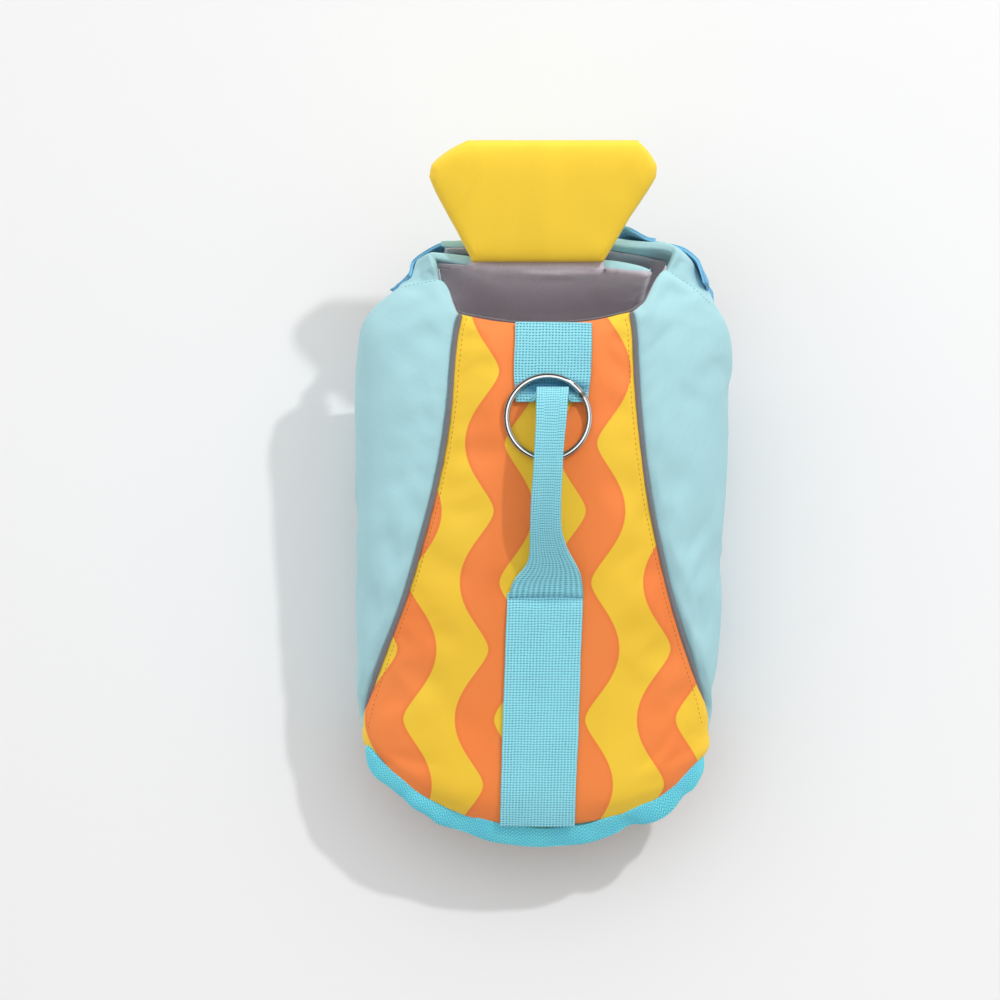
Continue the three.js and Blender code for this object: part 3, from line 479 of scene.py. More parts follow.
def lay_flat(piece, sharp=40):
    """UV map in metres: each face of the cloth laid out flat, its long side upwards."""
    edit(
        piece,
        lambda: bpy.ops.mesh.select_all(action="DESELECT"),
        lambda: bpy.ops.mesh.select_mode(type="EDGE"),
        lambda: bpy.ops.mesh.edges_select_sharp(sharpness=math.radians(sharp)),
        lambda: bpy.ops.mesh.mark_seam(clear=False),
        lambda: bpy.ops.mesh.select_mode(type="FACE"),
        lambda: bpy.ops.mesh.select_all(action="SELECT"),
        lambda: bpy.ops.uv.unwrap(method="CONFORMAL", margin=0),
    )
    work = bmesh.new()
    work.from_mesh(piece.data)
    layer = work.loops.layers.uv.active
    found = set()
    for first in work.faces:
        if first in found:
            continue
        stack = [first]
        found.add(first)
        members = []
        while stack:
            face = stack.pop()
            members.append(face)
            for edge in face.edges:
                if edge.seam:
                    continue
                for other in edge.link_faces:
                    if other not in found:
                        found.add(other)
                        stack.append(other)
        flat = np.array([loop[layer].uv for face in members for loop in face.loops])
        drawn = 0.0
        for face in members:
            uv = [loop[layer].uv for loop in face.loops]
            drawn += abs(sum(a.x * b.y - b.x * a.y for a, b in zip(uv, uv[1:] + uv[:1]))) / 2
        real = sum(face.calc_area() for face in members)
        flat = flat - flat.mean(0)
        _, axes = np.linalg.eigh(np.cov(flat.T))
        size = math.sqrt(real / max(drawn, 1e-12))
        turned = flat @ axes * size
        for loop, uv in zip((loop for face in members for loop in face.loops), turned):
            loop[layer].uv = uv
    work.to_mesh(piece.data)
    work.free()


def lay_straight(piece, along):
    """UV map in metres of a strap: its rows follow the strap round its bends. Along is its way at
    the first face."""
    work = bmesh.new()
    work.from_mesh(piece.data)
    layer = work.loops.layers.uv.active
    first = max(work.faces, key=lambda face: face.calc_area())
    corners = [loop.vert for loop in first.loops]
    edge = (corners[1].co - corners[0].co).normalized()
    if abs(edge.dot(Vector(along).normalized())) > 0.7:
        corners = corners[1:] + corners[:1]
    grid = {first: dict(zip(corners, [(0, 0), (1, 0), (1, 1), (0, 1)]))}
    queue = [first]
    while queue:
        face = queue.pop(0)
        cells = grid[face]
        for edge in face.edges:
            (a, b), (ax, ay), (bx, by) = edge.verts, cells[edge.verts[0]], cells[edge.verts[1]]
            inner = next(cell for vert, cell in cells.items() if vert not in (a, b))
            out = (0, ay - inner[1]) if ay == by and inner[1] != ay else (ax - inner[0], 0)
            for other in edge.link_faces:
                if other in grid or len(other.verts) != 4:
                    continue
                near_a = next(v for e in other.edges if a in e.verts and b not in e.verts
                              for v in e.verts if v is not a)
                near_b = next(v for e in other.edges if b in e.verts and a not in e.verts
                              for v in e.verts if v is not b)
                grid[other] = {a: (ax, ay), b: (bx, by),
                               near_b: (bx + out[0], by + out[1]),
                               near_a: (ax + out[0], ay + out[1])}
                queue.append(other)
    spans = ({}, {})
    for cells in grid.values():
        around = list(cells.items())
        for (a, (ax, ay)), (b, (bx, by)) in zip(around, around[1:] + around[:1]):
            if abs(ax - bx) + abs(ay - by) == 1:
                axis, cell = (0, min(ax, bx)) if ax != bx else (1, min(ay, by))
                spans[axis].setdefault(cell, []).append((a.co - b.co).length)
    marks = []
    for span in spans:
        low, high = min(span), max(span)
        sizes = [np.mean(span.get(i, [0])) for i in range(low, high + 1)]
        marks.append(dict(zip(range(low, high + 2), np.concatenate([[0], np.cumsum(sizes)]))))
    for face, cells in grid.items():
        for loop in face.loops:
            i, j = cells[loop.vert]
            loop[layer].uv = (marks[0][i], marks[1][j])
    work.to_mesh(piece.data)
    work.free()


def line_inside(piece, outward, lining):
    """Gives the faces that look inwards the lining material."""
    piece.data.materials.append(lining)
    for face in piece.data.polygons:
        if outward(face.center).dot(face.normal) < -0.35:
            face.material_index = len(piece.data.materials) - 1


def from_body(point):
    return Vector((point.x, 0, point.z - BODY_MIDDLE)).normalized()


def is_seam(edge, sharp):
    """Whether the cloth turns by more than an angle in degrees at an edge."""
    return len(edge.link_faces) == 2 and edge.calc_face_angle(0) > math.radians(sharp)


def seam_group(piece, sharp=40):
    """Vertex group of the seams, which stay where they are while the cloth swells."""
    work = bmesh.new()
    work.from_mesh(piece.data)
    held = {vert.index for edge in work.edges if is_seam(edge, sharp) for vert in edge.verts}
    work.free()
    group = piece.vertex_groups.new(name="seam")
    group.add(sorted(held), 1.0, "REPLACE")


def keep_edges(piece, share=0.75, sharp=40):
    """Seam edges that stay nearly square when the piece is rounded."""
    work = bmesh.new()
    work.from_mesh(piece.data)
    layers = work.edges.layers.float
    layer = layers.get("crease_edge") or layers.new("crease_edge")
    for edge in work.edges:
        if is_seam(edge, sharp):
            edge[layer] = share
    work.to_mesh(piece.data)
    work.free()


def fatten(piece, by):
    """Grows a cloth by a little on all sides, so that it closes on the seams beside it."""
    edit(piece, lambda: bpy.ops.transform.shrink_fatten(value=by))


def reach(piece, sideways, neck, tail, sharp=40):
    """Moves a panel's narrow rim outwards, so that it meets the piping and tapes beside it."""
    work = bmesh.new()
    work.from_mesh(piece.data)
    push = {}
    for face in work.faces:
        if sum(is_seam(edge, sharp) for edge in face.edges) < 2:
            continue
        by = sideways if abs(face.normal.x) > 0.5 else neck if face.normal.y > 0 else tail
        for vert in face.verts:
            push.setdefault(vert, []).append(face.normal * by)
    for vert, ways in push.items():
        vert.co += sum(ways, Vector()) / len(ways)
    work.to_mesh(piece.data)
    work.free()


def pull(piece, grabs):
    """Moves the cloth round each place by a vector, less and less out to a radius, all in mm."""
    at = places(piece)
    for place, way, radius in grabs:
        far = np.linalg.norm(at - np.array(place) * MM, axis=1) / (radius * MM)
        share = np.clip(1 - far**2, 0, 1) ** 2
        at = at + share[:, None] * np.array(way) * MM
    move(piece, at)


def cover(source, name, cuts, keep, lift):
    """A thin cloth over part of a pad: its skin, cut at planes and lifted off."""
    piece = bpy.data.objects.new(name, source.data.copy())
    piece.data.name = name
    piece.data.materials.clear()
    piece.data.materials.append(LINING)
    piece.data.polygons.foreach_set("material_index", [0] * len(piece.data.polygons))
    scene.collection.objects.link(piece)
    for place, way in cuts:
        edit(piece, lambda: bpy.ops.mesh.bisect(plane_co=Vector(place) * MM, plane_no=way))
    work = bmesh.new()
    work.from_mesh(piece.data)
    gone = [face for face in work.faces if not keep(face.calc_center_median() / MM, face.normal)]
    bmesh.ops.delete(work, geom=gone, context="FACES")
    work.to_mesh(piece.data)
    work.free()
    fatten(piece, lift)
    return piece


def thicken(piece, thick):
    wall = piece.modifiers.new("Wall", "SOLIDIFY")
    wall.thickness = thick
    wall.offset = 1
    apply(piece, wall)


def free_share(at, sewn):
    """How free the cloth is to move: 0 where webbing is sewn on, 1 from a little way off."""
    share = np.ones(len(at))
    for x_low, x_high, y_low, y_high in sewn:
        x, y = at[:, 0] / MM, at[:, 1] / MM
        off = np.hypot(np.maximum(np.maximum(x_low - x, x - x_high), 0),
                       np.maximum(np.maximum(y_low - y, y - y_high), 0))
        share = np.minimum(share, np.clip(off / 9, 0, 1) ** 1.5)
    return share[:, None]


def swell(piece, pressure, shrink, cap, sewn=(), frames=20):
    """Foam under cloth: the cloth swells between its held seams and creases a little."""
    rest = places(piece)
    cloth_work = piece.modifiers.new("Swell", "CLOTH")
    settings = cloth_work.settings
    settings.quality = 5
    settings.mass = 0.3
    settings.air_damping = 1.0
    settings.tension_stiffness = settings.compression_stiffness = 15
    settings.shear_stiffness = 5
    settings.bending_stiffness = 0.4
    settings.use_pressure = True
    settings.uniform_pressure_force = pressure
    settings.shrink_min = settings.shrink_max = shrink
    settings.effector_weights.gravity = 0
    settings.vertex_group_mass = "seam"
    settings.pin_stiffness = 1.0
    cloth_work.collision_settings.use_collision = False
    cloth_work.collision_settings.use_self_collision = False
    for number in range(1, frames + 1):
        scene.frame_set(number)
    apply(piece, cloth_work)
    scene.frame_set(1)
    moved = places(piece) - rest
    far = np.linalg.norm(moved, axis=1, keepdims=True)
    move(piece, rest + moved * np.minimum(1, cap / np.maximum(far, 1e-9)) * free_share(rest, sewn))


def ripple(piece, size, height, seed=0.0, sewn=()):
    """Slow unevenness over all of a cloth."""
    at = places(piece)
    out = normals(piece) * free_share(at, sewn)
    lift = [noise.noise(Vector(p) / size + Vector((seed, seed * 1.7, 0))) for p in at]
    move(piece, at + out * np.array(lift)[:, None] * height)


def rest_on_floor(piece):
    """Keeps the underside of a cloth on the floor."""
    at = places(piece)
    at[:, 2] = np.maximum(at[:, 2], 0.0)
    move(piece, at)


def crease(piece, lines):
    """Soft troughs along lines of (points, depth, width); a negative depth makes a ridge."""
    at = places(piece)
    out = normals(piece)
    dip = np.zeros(len(at))
    for points, depth, width in lines:
        line = np.array(points) * MM
        best = np.full(len(at), 1e9)
        share = np.zeros(len(at))
        for i, (a, b) in enumerate(zip(line, line[1:])):
            way = b - a
            part = np.clip((at - a) @ way / (way @ way), 0, 1)
            far = np.linalg.norm(at - a - part[:, None] * way, axis=1)
            nearer = far < best
            best = np.where(nearer, far, best)
            share = np.where(nearer, (i + part) / (len(line) - 1), share)
        fade = np.sin(np.pi * np.clip(share, 0.02, 0.98)) ** 0.6
        dip += depth * MM * np.exp(-((best / (width * MM)) ** 2)) * fade
    move(piece, at - out * dip[:, None])


def finish(piece, paint, body, slot, *nodes, smooth=60):
    """Gives the piece its finish if it has none, smooths it, hangs it on its body and hides the
    nodes that it stands for.
    """
    if not piece.data.materials:
        piece.data.materials.append(paint)
    select(piece)
    bpy.ops.object.shade_smooth_by_angle(angle=math.radians(smooth))
    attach(piece, body)
    if nodes:
        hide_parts(*nodes)
    return piece


def surface_of(*pieces_of_cloth):
    """Finds the outside of pieces from straight above."""
    evaluated = bpy.context.evaluated_depsgraph_get()
    trees = [BVHTree.FromObject(piece, evaluated) for piece in pieces_of_cloth]

    def below(x, y):
        hits = [tree.ray_cast(Vector((x, y, ABOVE_ALL)), Vector((0, 0, -1))) for tree in trees]
        hits = [hit for hit in hits if hit[0] is not None]
        return max(hits, key=lambda hit: hit[0].z)[:2] if hits else (None, None)

    return below


# Stitches


def stitch_row(name, runs, paint, slot, length=2.1, pitch=3.1, thick=0.42, sink=0.1):
    """Thread stitches along runs of (place, normal) points, as one piece."""
    bpy.ops.object.select_all(action="DESELECT")
    bpy.ops.mesh.primitive_uv_sphere_add(segments=8, ring_count=6, radius=0.5)
    thread = bpy.context.object
    model = places(thread)
    faces = [tuple(p.vertices) for p in thread.data.polygons]
    bpy.data.objects.remove(thread)
    points, polygons = [], []
    for run in runs:
        spots = [Vector(p) for p, _ in run]
        ups = [Vector(n) for _, n in run]
        gone, wanted = 0.0, pitch * MM / 2
        for a, b, up in zip(spots, spots[1:], ups):
            far = (b - a).length
            while gone + far >= wanted:
                place = a.lerp(b, (wanted - gone) / max(far, 1e-9))
                way = (b - a).normalized()
                side = up.cross(way).normalized()
                out = way.cross(side).normalized()
                basis = np.array([side * thick * MM, way * length * MM, out * thick * MM * 0.9])
                start = len(points)
                centre = np.array(place + out * (thick * 0.25 - sink) * MM)
                points.extend(model @ basis + centre)
                polygons.extend(tuple(start + i for i in face) for face in faces)
                wanted += pitch * MM
            gone += far
    mesh = bpy.data.meshes.new(name)
    mesh.from_pydata([tuple(p) for p in points], [], polygons)
    piece = bpy.data.objects.new(name, mesh)
    scene.collection.objects.link(piece)
    return finish(piece, paint, "jacket", slot)


# The pieces

LINING = cloth("grey_lining", "d8cfd8", "b2a7b2", 0.5 * MM, 0.33, 0.45, 0.05, 0.03 * MM)
PRINT = printed_paint()
AQUA = cloth("aqua_cloth", "b2dce2", "9fced5", 0.62 * MM, 0.85, 0.1, 0.02, 0.05 * MM)
YELLOW = cloth("yellow_cloth", "fdd63f", "fbcf38", 0.5 * MM, 0.6, 0.1, 0.02, 0.0)
WEBBING = webbing_paint("turquoise_webbing", "9cebfa", "3090a8")
BLUE = webbing_paint("blue_webbing", "84cbf2", "3f9ad2", 1.6 * MM, 1.2 * MM)
TAPE = tape_paint()
GREY = cloth("grey_piping", "87878c", "6b6b71", 0.5 * MM, 0.5, 0.2, 0.05)
STEEL = steel_paint()
PLASTIC = plastic_paint()
GOLD_THREAD = thread_paint("gold_thread", "b4791f", "875813")
AQUA_THREAD = thread_paint("aqua_thread", "9adbe4", "5fb0bd")
DARK_THREAD = thread_paint("dark_thread", "5e8f98", "41727b")

# How far the rims of the panels reach: sideways, at the neck and at the tail
RIM_REACH = {"back_panel": (2.4 * MM, -0.3 * MM, 1.6 * MM), "belly_panel": (0.0, 0.0, 0.0)}
SIDE_REACH = (0.9 * MM, 0.9 * MM, 0.9 * MM)
PIPING_SHRINK = 0.25 * MM
# Where the webbing is sewn to the back panel: low and high x, low and high y in mm
SEWN = {"back_panel": [(-16.5, 25, 44, 95), (-23.5, 21.5, -172, -46)]}
PANEL_GRABS = {
    "side_panel_left": [((-52, 104, 91), (2, 4, 0), 16), ((-72, 100, 84), (0, 2.5, 0), 16),
                        ((-88, 84, 74), (-2.2, 2.2, 0), 26)],
    "side_panel_right": [((61, 107, 91), (-1.5, 4, 0), 16), ((80, 98, 82), (0, 2, 0), 16)],
}
NYLON_WALL = 0.5 * MM
RING_WIRE = 3.2 * MM
# A lining's length along its curve, by the length of its box
OUT_OF_CHEST = Vector((0, 0.875, -0.485))
UP_CHEST = Vector((0, 0.485, 0.875))

# Troughs and ridges of each piece, as points, depth and width in mm; a minus depth is a ridge
CREASES = {
    "side_panel_left": [
        ([(-60, 84, 95), (-70, 70, 93), (-80, 62, 88)], 0.9, 5),
        ([(-52, 60, 97), (-62, 58, 96), (-72, 60, 93)], 0.7, 3),
        ([(-58, 20, 97), (-74, 10, 94), (-88, 6, 84)], 0.8, 6),
        ([(-70, -30, 90), (-82, -42, 84), (-92, -60, 72)], 0.9, 7),
        ([(-55, 100, 92), (-66, 92, 88), (-78, 80, 80)], 1.0, 5),
    ],
    "side_panel_right": [
        ([(62, 96, 92), (72, 84, 88), (84, 72, 80)], 1.0, 5),
        ([(52, 66, 97), (64, 62, 95), (76, 66, 90)], 0.7, 4),
        ([(58, 14, 96), (72, 2, 92), (86, -4, 84)], 0.8, 6),
        ([(68, -44, 88), (80, -56, 82), (90, -76, 70)], 0.9, 7),
    ],
    "back_panel": [
        ([(-30, 60, 98), (-36, 40, 98), (-34, 18, 97)], 0.5, 6),
        ([(36, 30, 98), (42, 10, 96), (44, -14, 94)], 0.5, 6),
        ([(-60, -90, 74), (-46, -110, 70), (-30, -124, 68)], 0.7, 7),
        ([(34, -80, 80), (50, -100, 74), (62, -122, 64)], 0.7, 7),
    ],
    "chest_flap": [
        ([(-38, 113.5, 86), (-10, 114, 85), (14, 113.5, 85), (31, 112.5, 86)], -2.6, 3.4),
        ([(-36, 108, 81), (-8, 107.5, 80), (14, 107.5, 80), (30, 107, 81)], 3.0, 2.4),
        ([(29, 118, 87), (31, 111, 84), (33, 104, 78)], 2.4, 1.8),
        ([(36, 116, 87), (36, 110, 84), (35, 105, 80)], 0.8, 1.6),
        ([(-36, 118, 87), (-41, 111, 84), (-47, 104, 77)], 1.3, 2.2),
        ([(-47, 112, 86), (-50, 107, 80), (-50, 100, 70)], 0.8, 2.5),
        ([(-20, 104, 74), (-4, 98, 64), (10, 96, 60)], 0.8, 5),
    ],
    "neck_strap": [
        ([(53, 123, 85), (57, 115, 78), (60, 106, 70)], 1.6, 2.4),
        ([(30, 122, 80), (44, 118, 74), (56, 112, 66)], 0.9, 4),
        ([(-36, 122, 80), (-42, 116, 74), (-46, 110, 66)], 0.9, 3),
    ],
}

# Middle of the piping, as y, left x and right x in mm
PIPING_ROWS = [
    (91, -42.2, 43.2), (85, -44.2, 44.6), (65, -46.3, 45.6), (50, -47.3, 46.5), (25, -50.8, 48.9),
    (0, -56.2, 52.6), (-25, -63, 57.8), (-51, -70.8, 64.1), (-76, -80.2, 71.8), (-102, -89.4, 80.5),
    (-117, -93, 84.2), (-124, -93.4, 84.8),
]

# Panels: finish, slot, pressure and shrinking of the swelling cloth, and most that it moves in mm
PANELS = {
    "back_panel": (PRINT, "printed_cloth", 4.0, -0.008, 1.5),
    "side_panel_left": (AQUA, "side_cloth", 4.0, -0.014, 2.1),
    "side_panel_right": (AQUA, "side_cloth", 4.0, -0.014, 2.1),
    "belly_panel": (AQUA, "side_cloth", 0.5, -0.01, 0.8),
}


def widen(piece, by=2.4, margin=6):
    """Moves the sides of the printed panel outwards, as far as the piping."""
    at = places(piece) / MM
    ys, lefts, rights = np.array(PIPING_ROWS)[::-1].T
    left, right = np.interp(at[:, 1], ys, lefts), np.interp(at[:, 1], ys, rights)
    at[:, 0] -= by * np.clip(1 - (at[:, 0] - left) / margin, 0, 1)
    at[:, 0] += by * np.clip(1 - (right - at[:, 0]) / margin, 0, 1)
    move(piece, at * MM)


def make_panels():
    made = {}
    for node, (paint, slot, pressure, shrink, cap) in PANELS.items():
        piece = smooth_copy(node, node + "_cloth")
        lay_flat(piece)
        seam_group(piece)
        piece.data.materials.append(paint)
        line_inside(piece, from_body, LINING)
        keep_edges(piece)
        reach(piece, *RIM_REACH.get(node, SIDE_REACH))
        subdivide(piece)
        sewn = SEWN.get(node, ())
        swell(piece, pressure, shrink, cap * MM, sewn)
        subdivide(piece)
        fatten(piece, 0.3 * MM)
        ripple(piece, 0.045, 0.8 * MM, len(made) * 3.1, sewn)
        crease(piece, CREASES.get(node, []))
        pull(piece, PANEL_GRABS.get(node, []))
        if node == "back_panel":
            widen(piece)
        rest_on_floor(piece)
        finish(piece, paint, "jacket", slot, node)
        made[node] = piece
    return made


def make_float():
    piece = smooth_copy("chin_float", "chin_float_pad")
    lay_flat(piece)
    seam_group(piece, 25)
    keep_edges(piece, 0.8, 25)
    piece.data.materials.append(YELLOW)
    subdivide(piece)
    swell(piece, 3.0, 0.0, 0.9 * MM)
    subdivide(piece)
    finish(piece, YELLOW, "jacket", "float_cloth", "chin_float")
    return piece


def side_of(place, cut):
    return (place - Vector(cut[0])).dot(Vector(cut[1]))


# Planes at which the linings of the flap and the neck strap end, as place and way
FLAP_CUTS = {
    "left": ((-36.5, 118, 0), (0.56, -0.83, 0)),
    "right": ((30, 0, 0), (1, 0, 0)),
    "end": ((-53, 112, 84), (1, 0.12, 0.1)),
    "roll": ((0, 121, 86), (0, 0.875, -0.485)),
    "left_edge": ((-45, 117.2, 84), (0.1, 1, 0)),
    "right_edge": ((31, 114.8, 84), (0.09, 1, 0)),
}
BAND_CUTS = {
    "left": ((-50.5, 0, 0), (1, 0, 0)),
    "right": ((62, 0, 0), (1, 0, 0)),
    "left_edge": ((-45, 125.6, 80), (0, 1, 0)),
    "right_edge": ((46, 122.4, 80), (0.153, 1, 0)),
}


def flap_lined(place, normal):
    """Where the flap's lining shows: over the roll under the float, short of the edge beside it."""
    if normal.dot(UP_CHEST) < -0.4 or side_of(place, FLAP_CUTS["end"]) < 0:
        return False
    inside = normal.dot(OUT_OF_CHEST) < 0.3
    if side_of(place, FLAP_CUTS["left"]) < 0:
        return inside and side_of(place, FLAP_CUTS["left_edge"]) < 0
    if side_of(place, FLAP_CUTS["right"]) > 0:
        return inside and side_of(place, FLAP_CUTS["right_edge"]) < 0
    return normal.dot(OUT_OF_CHEST) < -0.6 or side_of(place, FLAP_CUTS["roll"]) < 0


def band_lined(place, normal):
    if normal.dot(UP_CHEST) < -0.4 or normal.dot(OUT_OF_CHEST) > 0.3:
        return False
    if side_of(place, BAND_CUTS["left"]) < 0 or side_of(place, BAND_CUTS["right"]) > 0:
        return False
    edge = "left_edge" if place.x < 0 else "right_edge"
    return side_of(place, BAND_CUTS[edge]) < 0


# Chest pieces: planes of the lining, where it shows, and pulls as place, way and radius in mm
CHEST = {
    "chest_flap": (FLAP_CUTS, flap_lined, []),
    "neck_strap": (BAND_CUTS, band_lined,
                   [((56, 104, 40), (1, -7, -6), 22), ((46, 130, 82), (0, -2.6, 0), 24)]),
}


def make_chest():
    made = []
    for node, (cuts, keep, grabs) in CHEST.items():
        piece = smooth_copy(node, node + "_pad")
        lay_flat(piece)
        seam_group(piece)
        keep_edges(piece, 0.5)
        piece.data.materials.append(AQUA)
        subdivide(piece)
        swell(piece, 3.0, -0.02, 1.6 * MM)
        subdivide(piece)
        fatten(piece, 0.35 * MM)
        ripple(piece, 0.018, 0.7 * MM, 2.0 + len(made))
        crease(piece, CREASES[node])
        pull(piece, grabs)
        nylon = cover(piece, node + "_nylon", cuts.values(), keep, 0.5 * MM)
        ripple(nylon, 0.007, 0.25 * MM, 7.0 + len(made))
        thicken(nylon, NYLON_WALL)
        finish(piece, AQUA, "jacket", "side_cloth", node)
        finish(nylon, LINING, "jacket", "lining", node + "_lining")
        made.append(piece)
    return made


STRAPS = {
    "webbing_front": (WEBBING, "webbing", (0, 1, 0)),
    "webbing_rear": (WEBBING, "webbing", (0, 1, 0)),
    "handle": (WEBBING, "webbing", (0, 1, 0)),
    "belly_strap_front": (WEBBING, "webbing", (0, 0, 1)),
    "belly_strap_rear": (WEBBING, "webbing", (0, 0, 1)),
    "chest_strap": (BLUE, "blue_webbing", (1, 0, 0)),
    "chest_strap_end": (BLUE, "blue_webbing", (0, 0.3, 1)),
    "hem_binding": (TAPE, "webbing", (1, 0, 0)),
}


# Edges of the handle, as y, left and right in mm
HANDLE_EDGES = [
    (55.4, -4.0, 13.1), (47.9, -4.0, 11.6), (32.9, -4.5, 10.3), (18.1, -5.3, 9.0),
    (-1.7, -6.7, 8.3), (-16.6, -7.2, 8.1), (-24.1, -7.3, 10.5), (-29.2, -7.5, 12.7),
    (-34.2, -7.6, 16.3), (-37.8, -11.1, 18.0), (-41.8, -15.3, 19.0), (-46.9, -17.2, 19.6),
    (-50.4, -17.6, 19.9),
]

# Pulls on the straps and the hem tape, as place, way and radius in mm
HEM_HEIGHT = 47
STRAP_GRABS = {
    "chest_strap": [((79, 110, 74), (0.6, 1.2, 2.5), 13), ((90, 99, 70), (-6, -2.5, -4), 13),
                    ((-68, 115, 66), (1, -0.8, 0), 24), ((-81, 96, 65), (4, 5, 4), 13)],
    "chest_strap_end": [((58, 130, 84), (-3, -4.5, -3), 22)],
    "hem_binding": [
        ((66, -172, HEM_HEIGHT), (2, -6, -1), 22), ((90, -150, HEM_HEIGHT), (4, -4, 0), 20),
        ((4, -173, HEM_HEIGHT), (0, -2.8, -1), 44), ((-64, -159, HEM_HEIGHT), (-1, -2.4, 0), 11),
        ((-97, -144, HEM_HEIGHT), (-4, -4, 0), 20), ((44, -170, HEM_HEIGHT), (0, 1.5, 0), 8),
    ],
}


def rows_of(piece):
    """The cross-sections of a strap, from its UV map, as lists of point numbers."""
    rows = {}
    layer = piece.data.uv_layers[UV_NAME].data
    for loop in piece.data.loops:
        rows.setdefault(round(layer[loop.index].uv[1] / MM, 1), set()).add(loop.vertex_index)
    return [sorted(rows[key]) for key in sorted(rows)]


def shape_handle(piece):
    """The handle as worn: narrow and a little askew, with its ends gathered to the flat webbing."""
    at = places(piece) / MM
    ys, lefts, rights = np.array(HANDLE_EDGES)[::-1].T
    for row in rows_of(piece):
        middle = at[row].mean(0)
        if middle[1] > 45 and middle[2] < 104:
            continue
        low, high = at[row, 0].min(), at[row, 0].max()
        left, right = np.interp(middle[1], ys, lefts), np.interp(middle[1], ys, rights)
        at[row, 0] = left + (at[row, 0] - low) * (right - left) / (high - low)
    crest = np.clip((at[:, 1] - 40) / 8, 0, 1) * np.clip((at[:, 2] - 104) / 5, 0, 1)
    at[:, 1] += 2.6 * crest
    tail = np.clip((-43 - at[:, 1]) / 6, 0, 1)
    at[:, 1] -= 1.6 * tail
    at[:, 2] -= 1.3 * tail
    move(piece, at * MM)


def shape_front(piece):
    """The front webbing runs on under the handle's rise, with its corners drawn in."""
    at = places(piece) / MM
    tail = np.clip((60 - at[:, 1]) / 4, 0, 1)
    middle = 3.8
    at[:, 0] = middle + (at[:, 0] - middle) * (1 - 0.07 * tail)
    at[:, 2] += 1.1 * tail - 0.9 * tail * (np.abs(at[:, 0] - middle) / 18) ** 2
    at[:, 1] -= 9 * tail
    at[:, 1] += 1.4 * np.clip((at[:, 1] - 82) / 3, 0, 1)
    move(piece, at * MM)


def shape_rear(piece):
    """The rear webbing starts in a dip under the handle's end."""
    at = places(piece) / MM
    head = np.clip((at[:, 1] + 56) / 6, 0, 1)
    at[:, 1] += 3 * head
    at[:, 2] -= 1.2 * head
    tail = np.clip((-160 - at[:, 1]) / 5, 0, 1)
    at[:, 1] -= 2.6 * tail
    at[:, 2] -= 1.0 * tail
    move(piece, at * MM)


# Height in mm of the slow unevenness, where it isn't the usual one
RIPPLES = {"hem_binding": 1.5}
SHAPES = {"handle": shape_handle, "webbing_front": shape_front, "webbing_rear": shape_rear}


def make_straps():
    made = {}
    for node, (paint, slot, along) in STRAPS.items():
        piece = smooth_copy(node, node + "_strap")
        if node in SHAPES:
            edit(piece, lambda: bpy.ops.mesh.subdivide(number_cuts=1))
            lay_straight(piece, along)
            SHAPES[node](piece)
        lay_straight(piece, along)
        keep_edges(piece, 1.0, 50)
        subdivide(piece, 1 if node in SHAPES else 2)
        pull(piece, STRAP_GRABS.get(node, []))
        ripple(piece, 0.016, RIPPLES.get(node, 0.35) * MM, len(made) * 2.3)
        piece.data.materials.append(paint)
        bevel = piece.modifiers.new("Edge", "BEVEL")
        bevel.width = 0.25 * MM
        bevel.segments = 2
        bevel.limit_method = "ANGLE"
        bevel.angle_limit = math.radians(50)
        apply(piece, bevel)
        finish(piece, paint, "jacket", slot, node)
        made[node] = piece
    return made


def make_cords():
    for node in ("piping_left", "piping_right", "neck_binding"):
        piece = smooth_copy(node, node + "_cord")
        lay_flat(piece)
        piece.data.materials.append(GREY)
        subdivide(piece, 2)
        at = places(piece)
        if node == "neck_binding":
            share = np.clip((at[:, 0] / MM - 40) / 12, 0, 1)[:, None]
            slim = 0.65 * MM * (1 - share) + 0.15 * MM * share
            move(piece, at - normals(piece) * slim + np.array((0, -0.9, -0.5)) * MM * (1 - share))
        else:
            tail = np.clip((-88 - at[:, 1] / MM) / 30, 0, 1)[:, None]
            inwards = np.column_stack([-np.sign(at[:, 0]), np.zeros((len(at), 2))])
            slim = PIPING_SHRINK + 0.6 * MM * tail
            move(piece, at - normals(piece) * slim + inwards * 1.2 * MM * tail)
        finish(piece, GREY, "jacket", "piping", node)


def make_ring():
    low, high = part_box("leash_ring")
    centre = (low + high) / 2
    wire = RING_WIRE / 2
    radius = (high.x - low.x) / 2 - wire
    lean = math.atan2(high.z - low.z - 2 * wire, 2 * radius)
    bpy.ops.object.select_all(action="DESELECT")
    bpy.ops.mesh.primitive_circle_add(vertices=24, radius=wire, location=(radius, 0, 0),
                                      rotation=(math.pi / 2, 0, 0))
    ring = bpy.context.object
    ring.name = "leash_ring_steel"
    bpy.ops.object.transform_apply(location=True, rotation=True, scale=True)
    edit(
        ring,
        lambda: bpy.ops.mesh.spin(steps=128, angle=2 * math.pi, center=(0, 0, 0), axis=(0, 0, 1)),
        lambda: bpy.ops.mesh.select_all(action="SELECT"),
        lambda: bpy.ops.mesh.remove_doubles(threshold=0.01 * MM),
        lambda: bpy.ops.mesh.normals_make_consistent(inside=False),
    )
    turn = Matrix.Rotation(lean, 4, "X")
    ring.data.transform(Matrix.Translation(centre) @ turn)
    ring.data.materials.append(STEEL)
    finish(ring, STEEL, "ring", "ring_steel", "leash_ring")


# Buckles: middle of the underside, way along, way out, half length and half width in mm
BELLY_BUCKLE = ((0.716, 0, 0.698), (0.698, 0.004, -0.716), 12.5, 10.2)
BUCKLES = {
    "chest_buckle": ((16.4, 123.9, 52.4), (1, 0.011, 0.015), (0, 0.882, -0.471), 15.6, 12.8),
    "belly_buckle_front": ((78.3, 13.6, 15.4), *BELLY_BUCKLE),
    "belly_buckle_rear": ((77.3, -63.3, 14.2), *BELLY_BUCKLE),
}

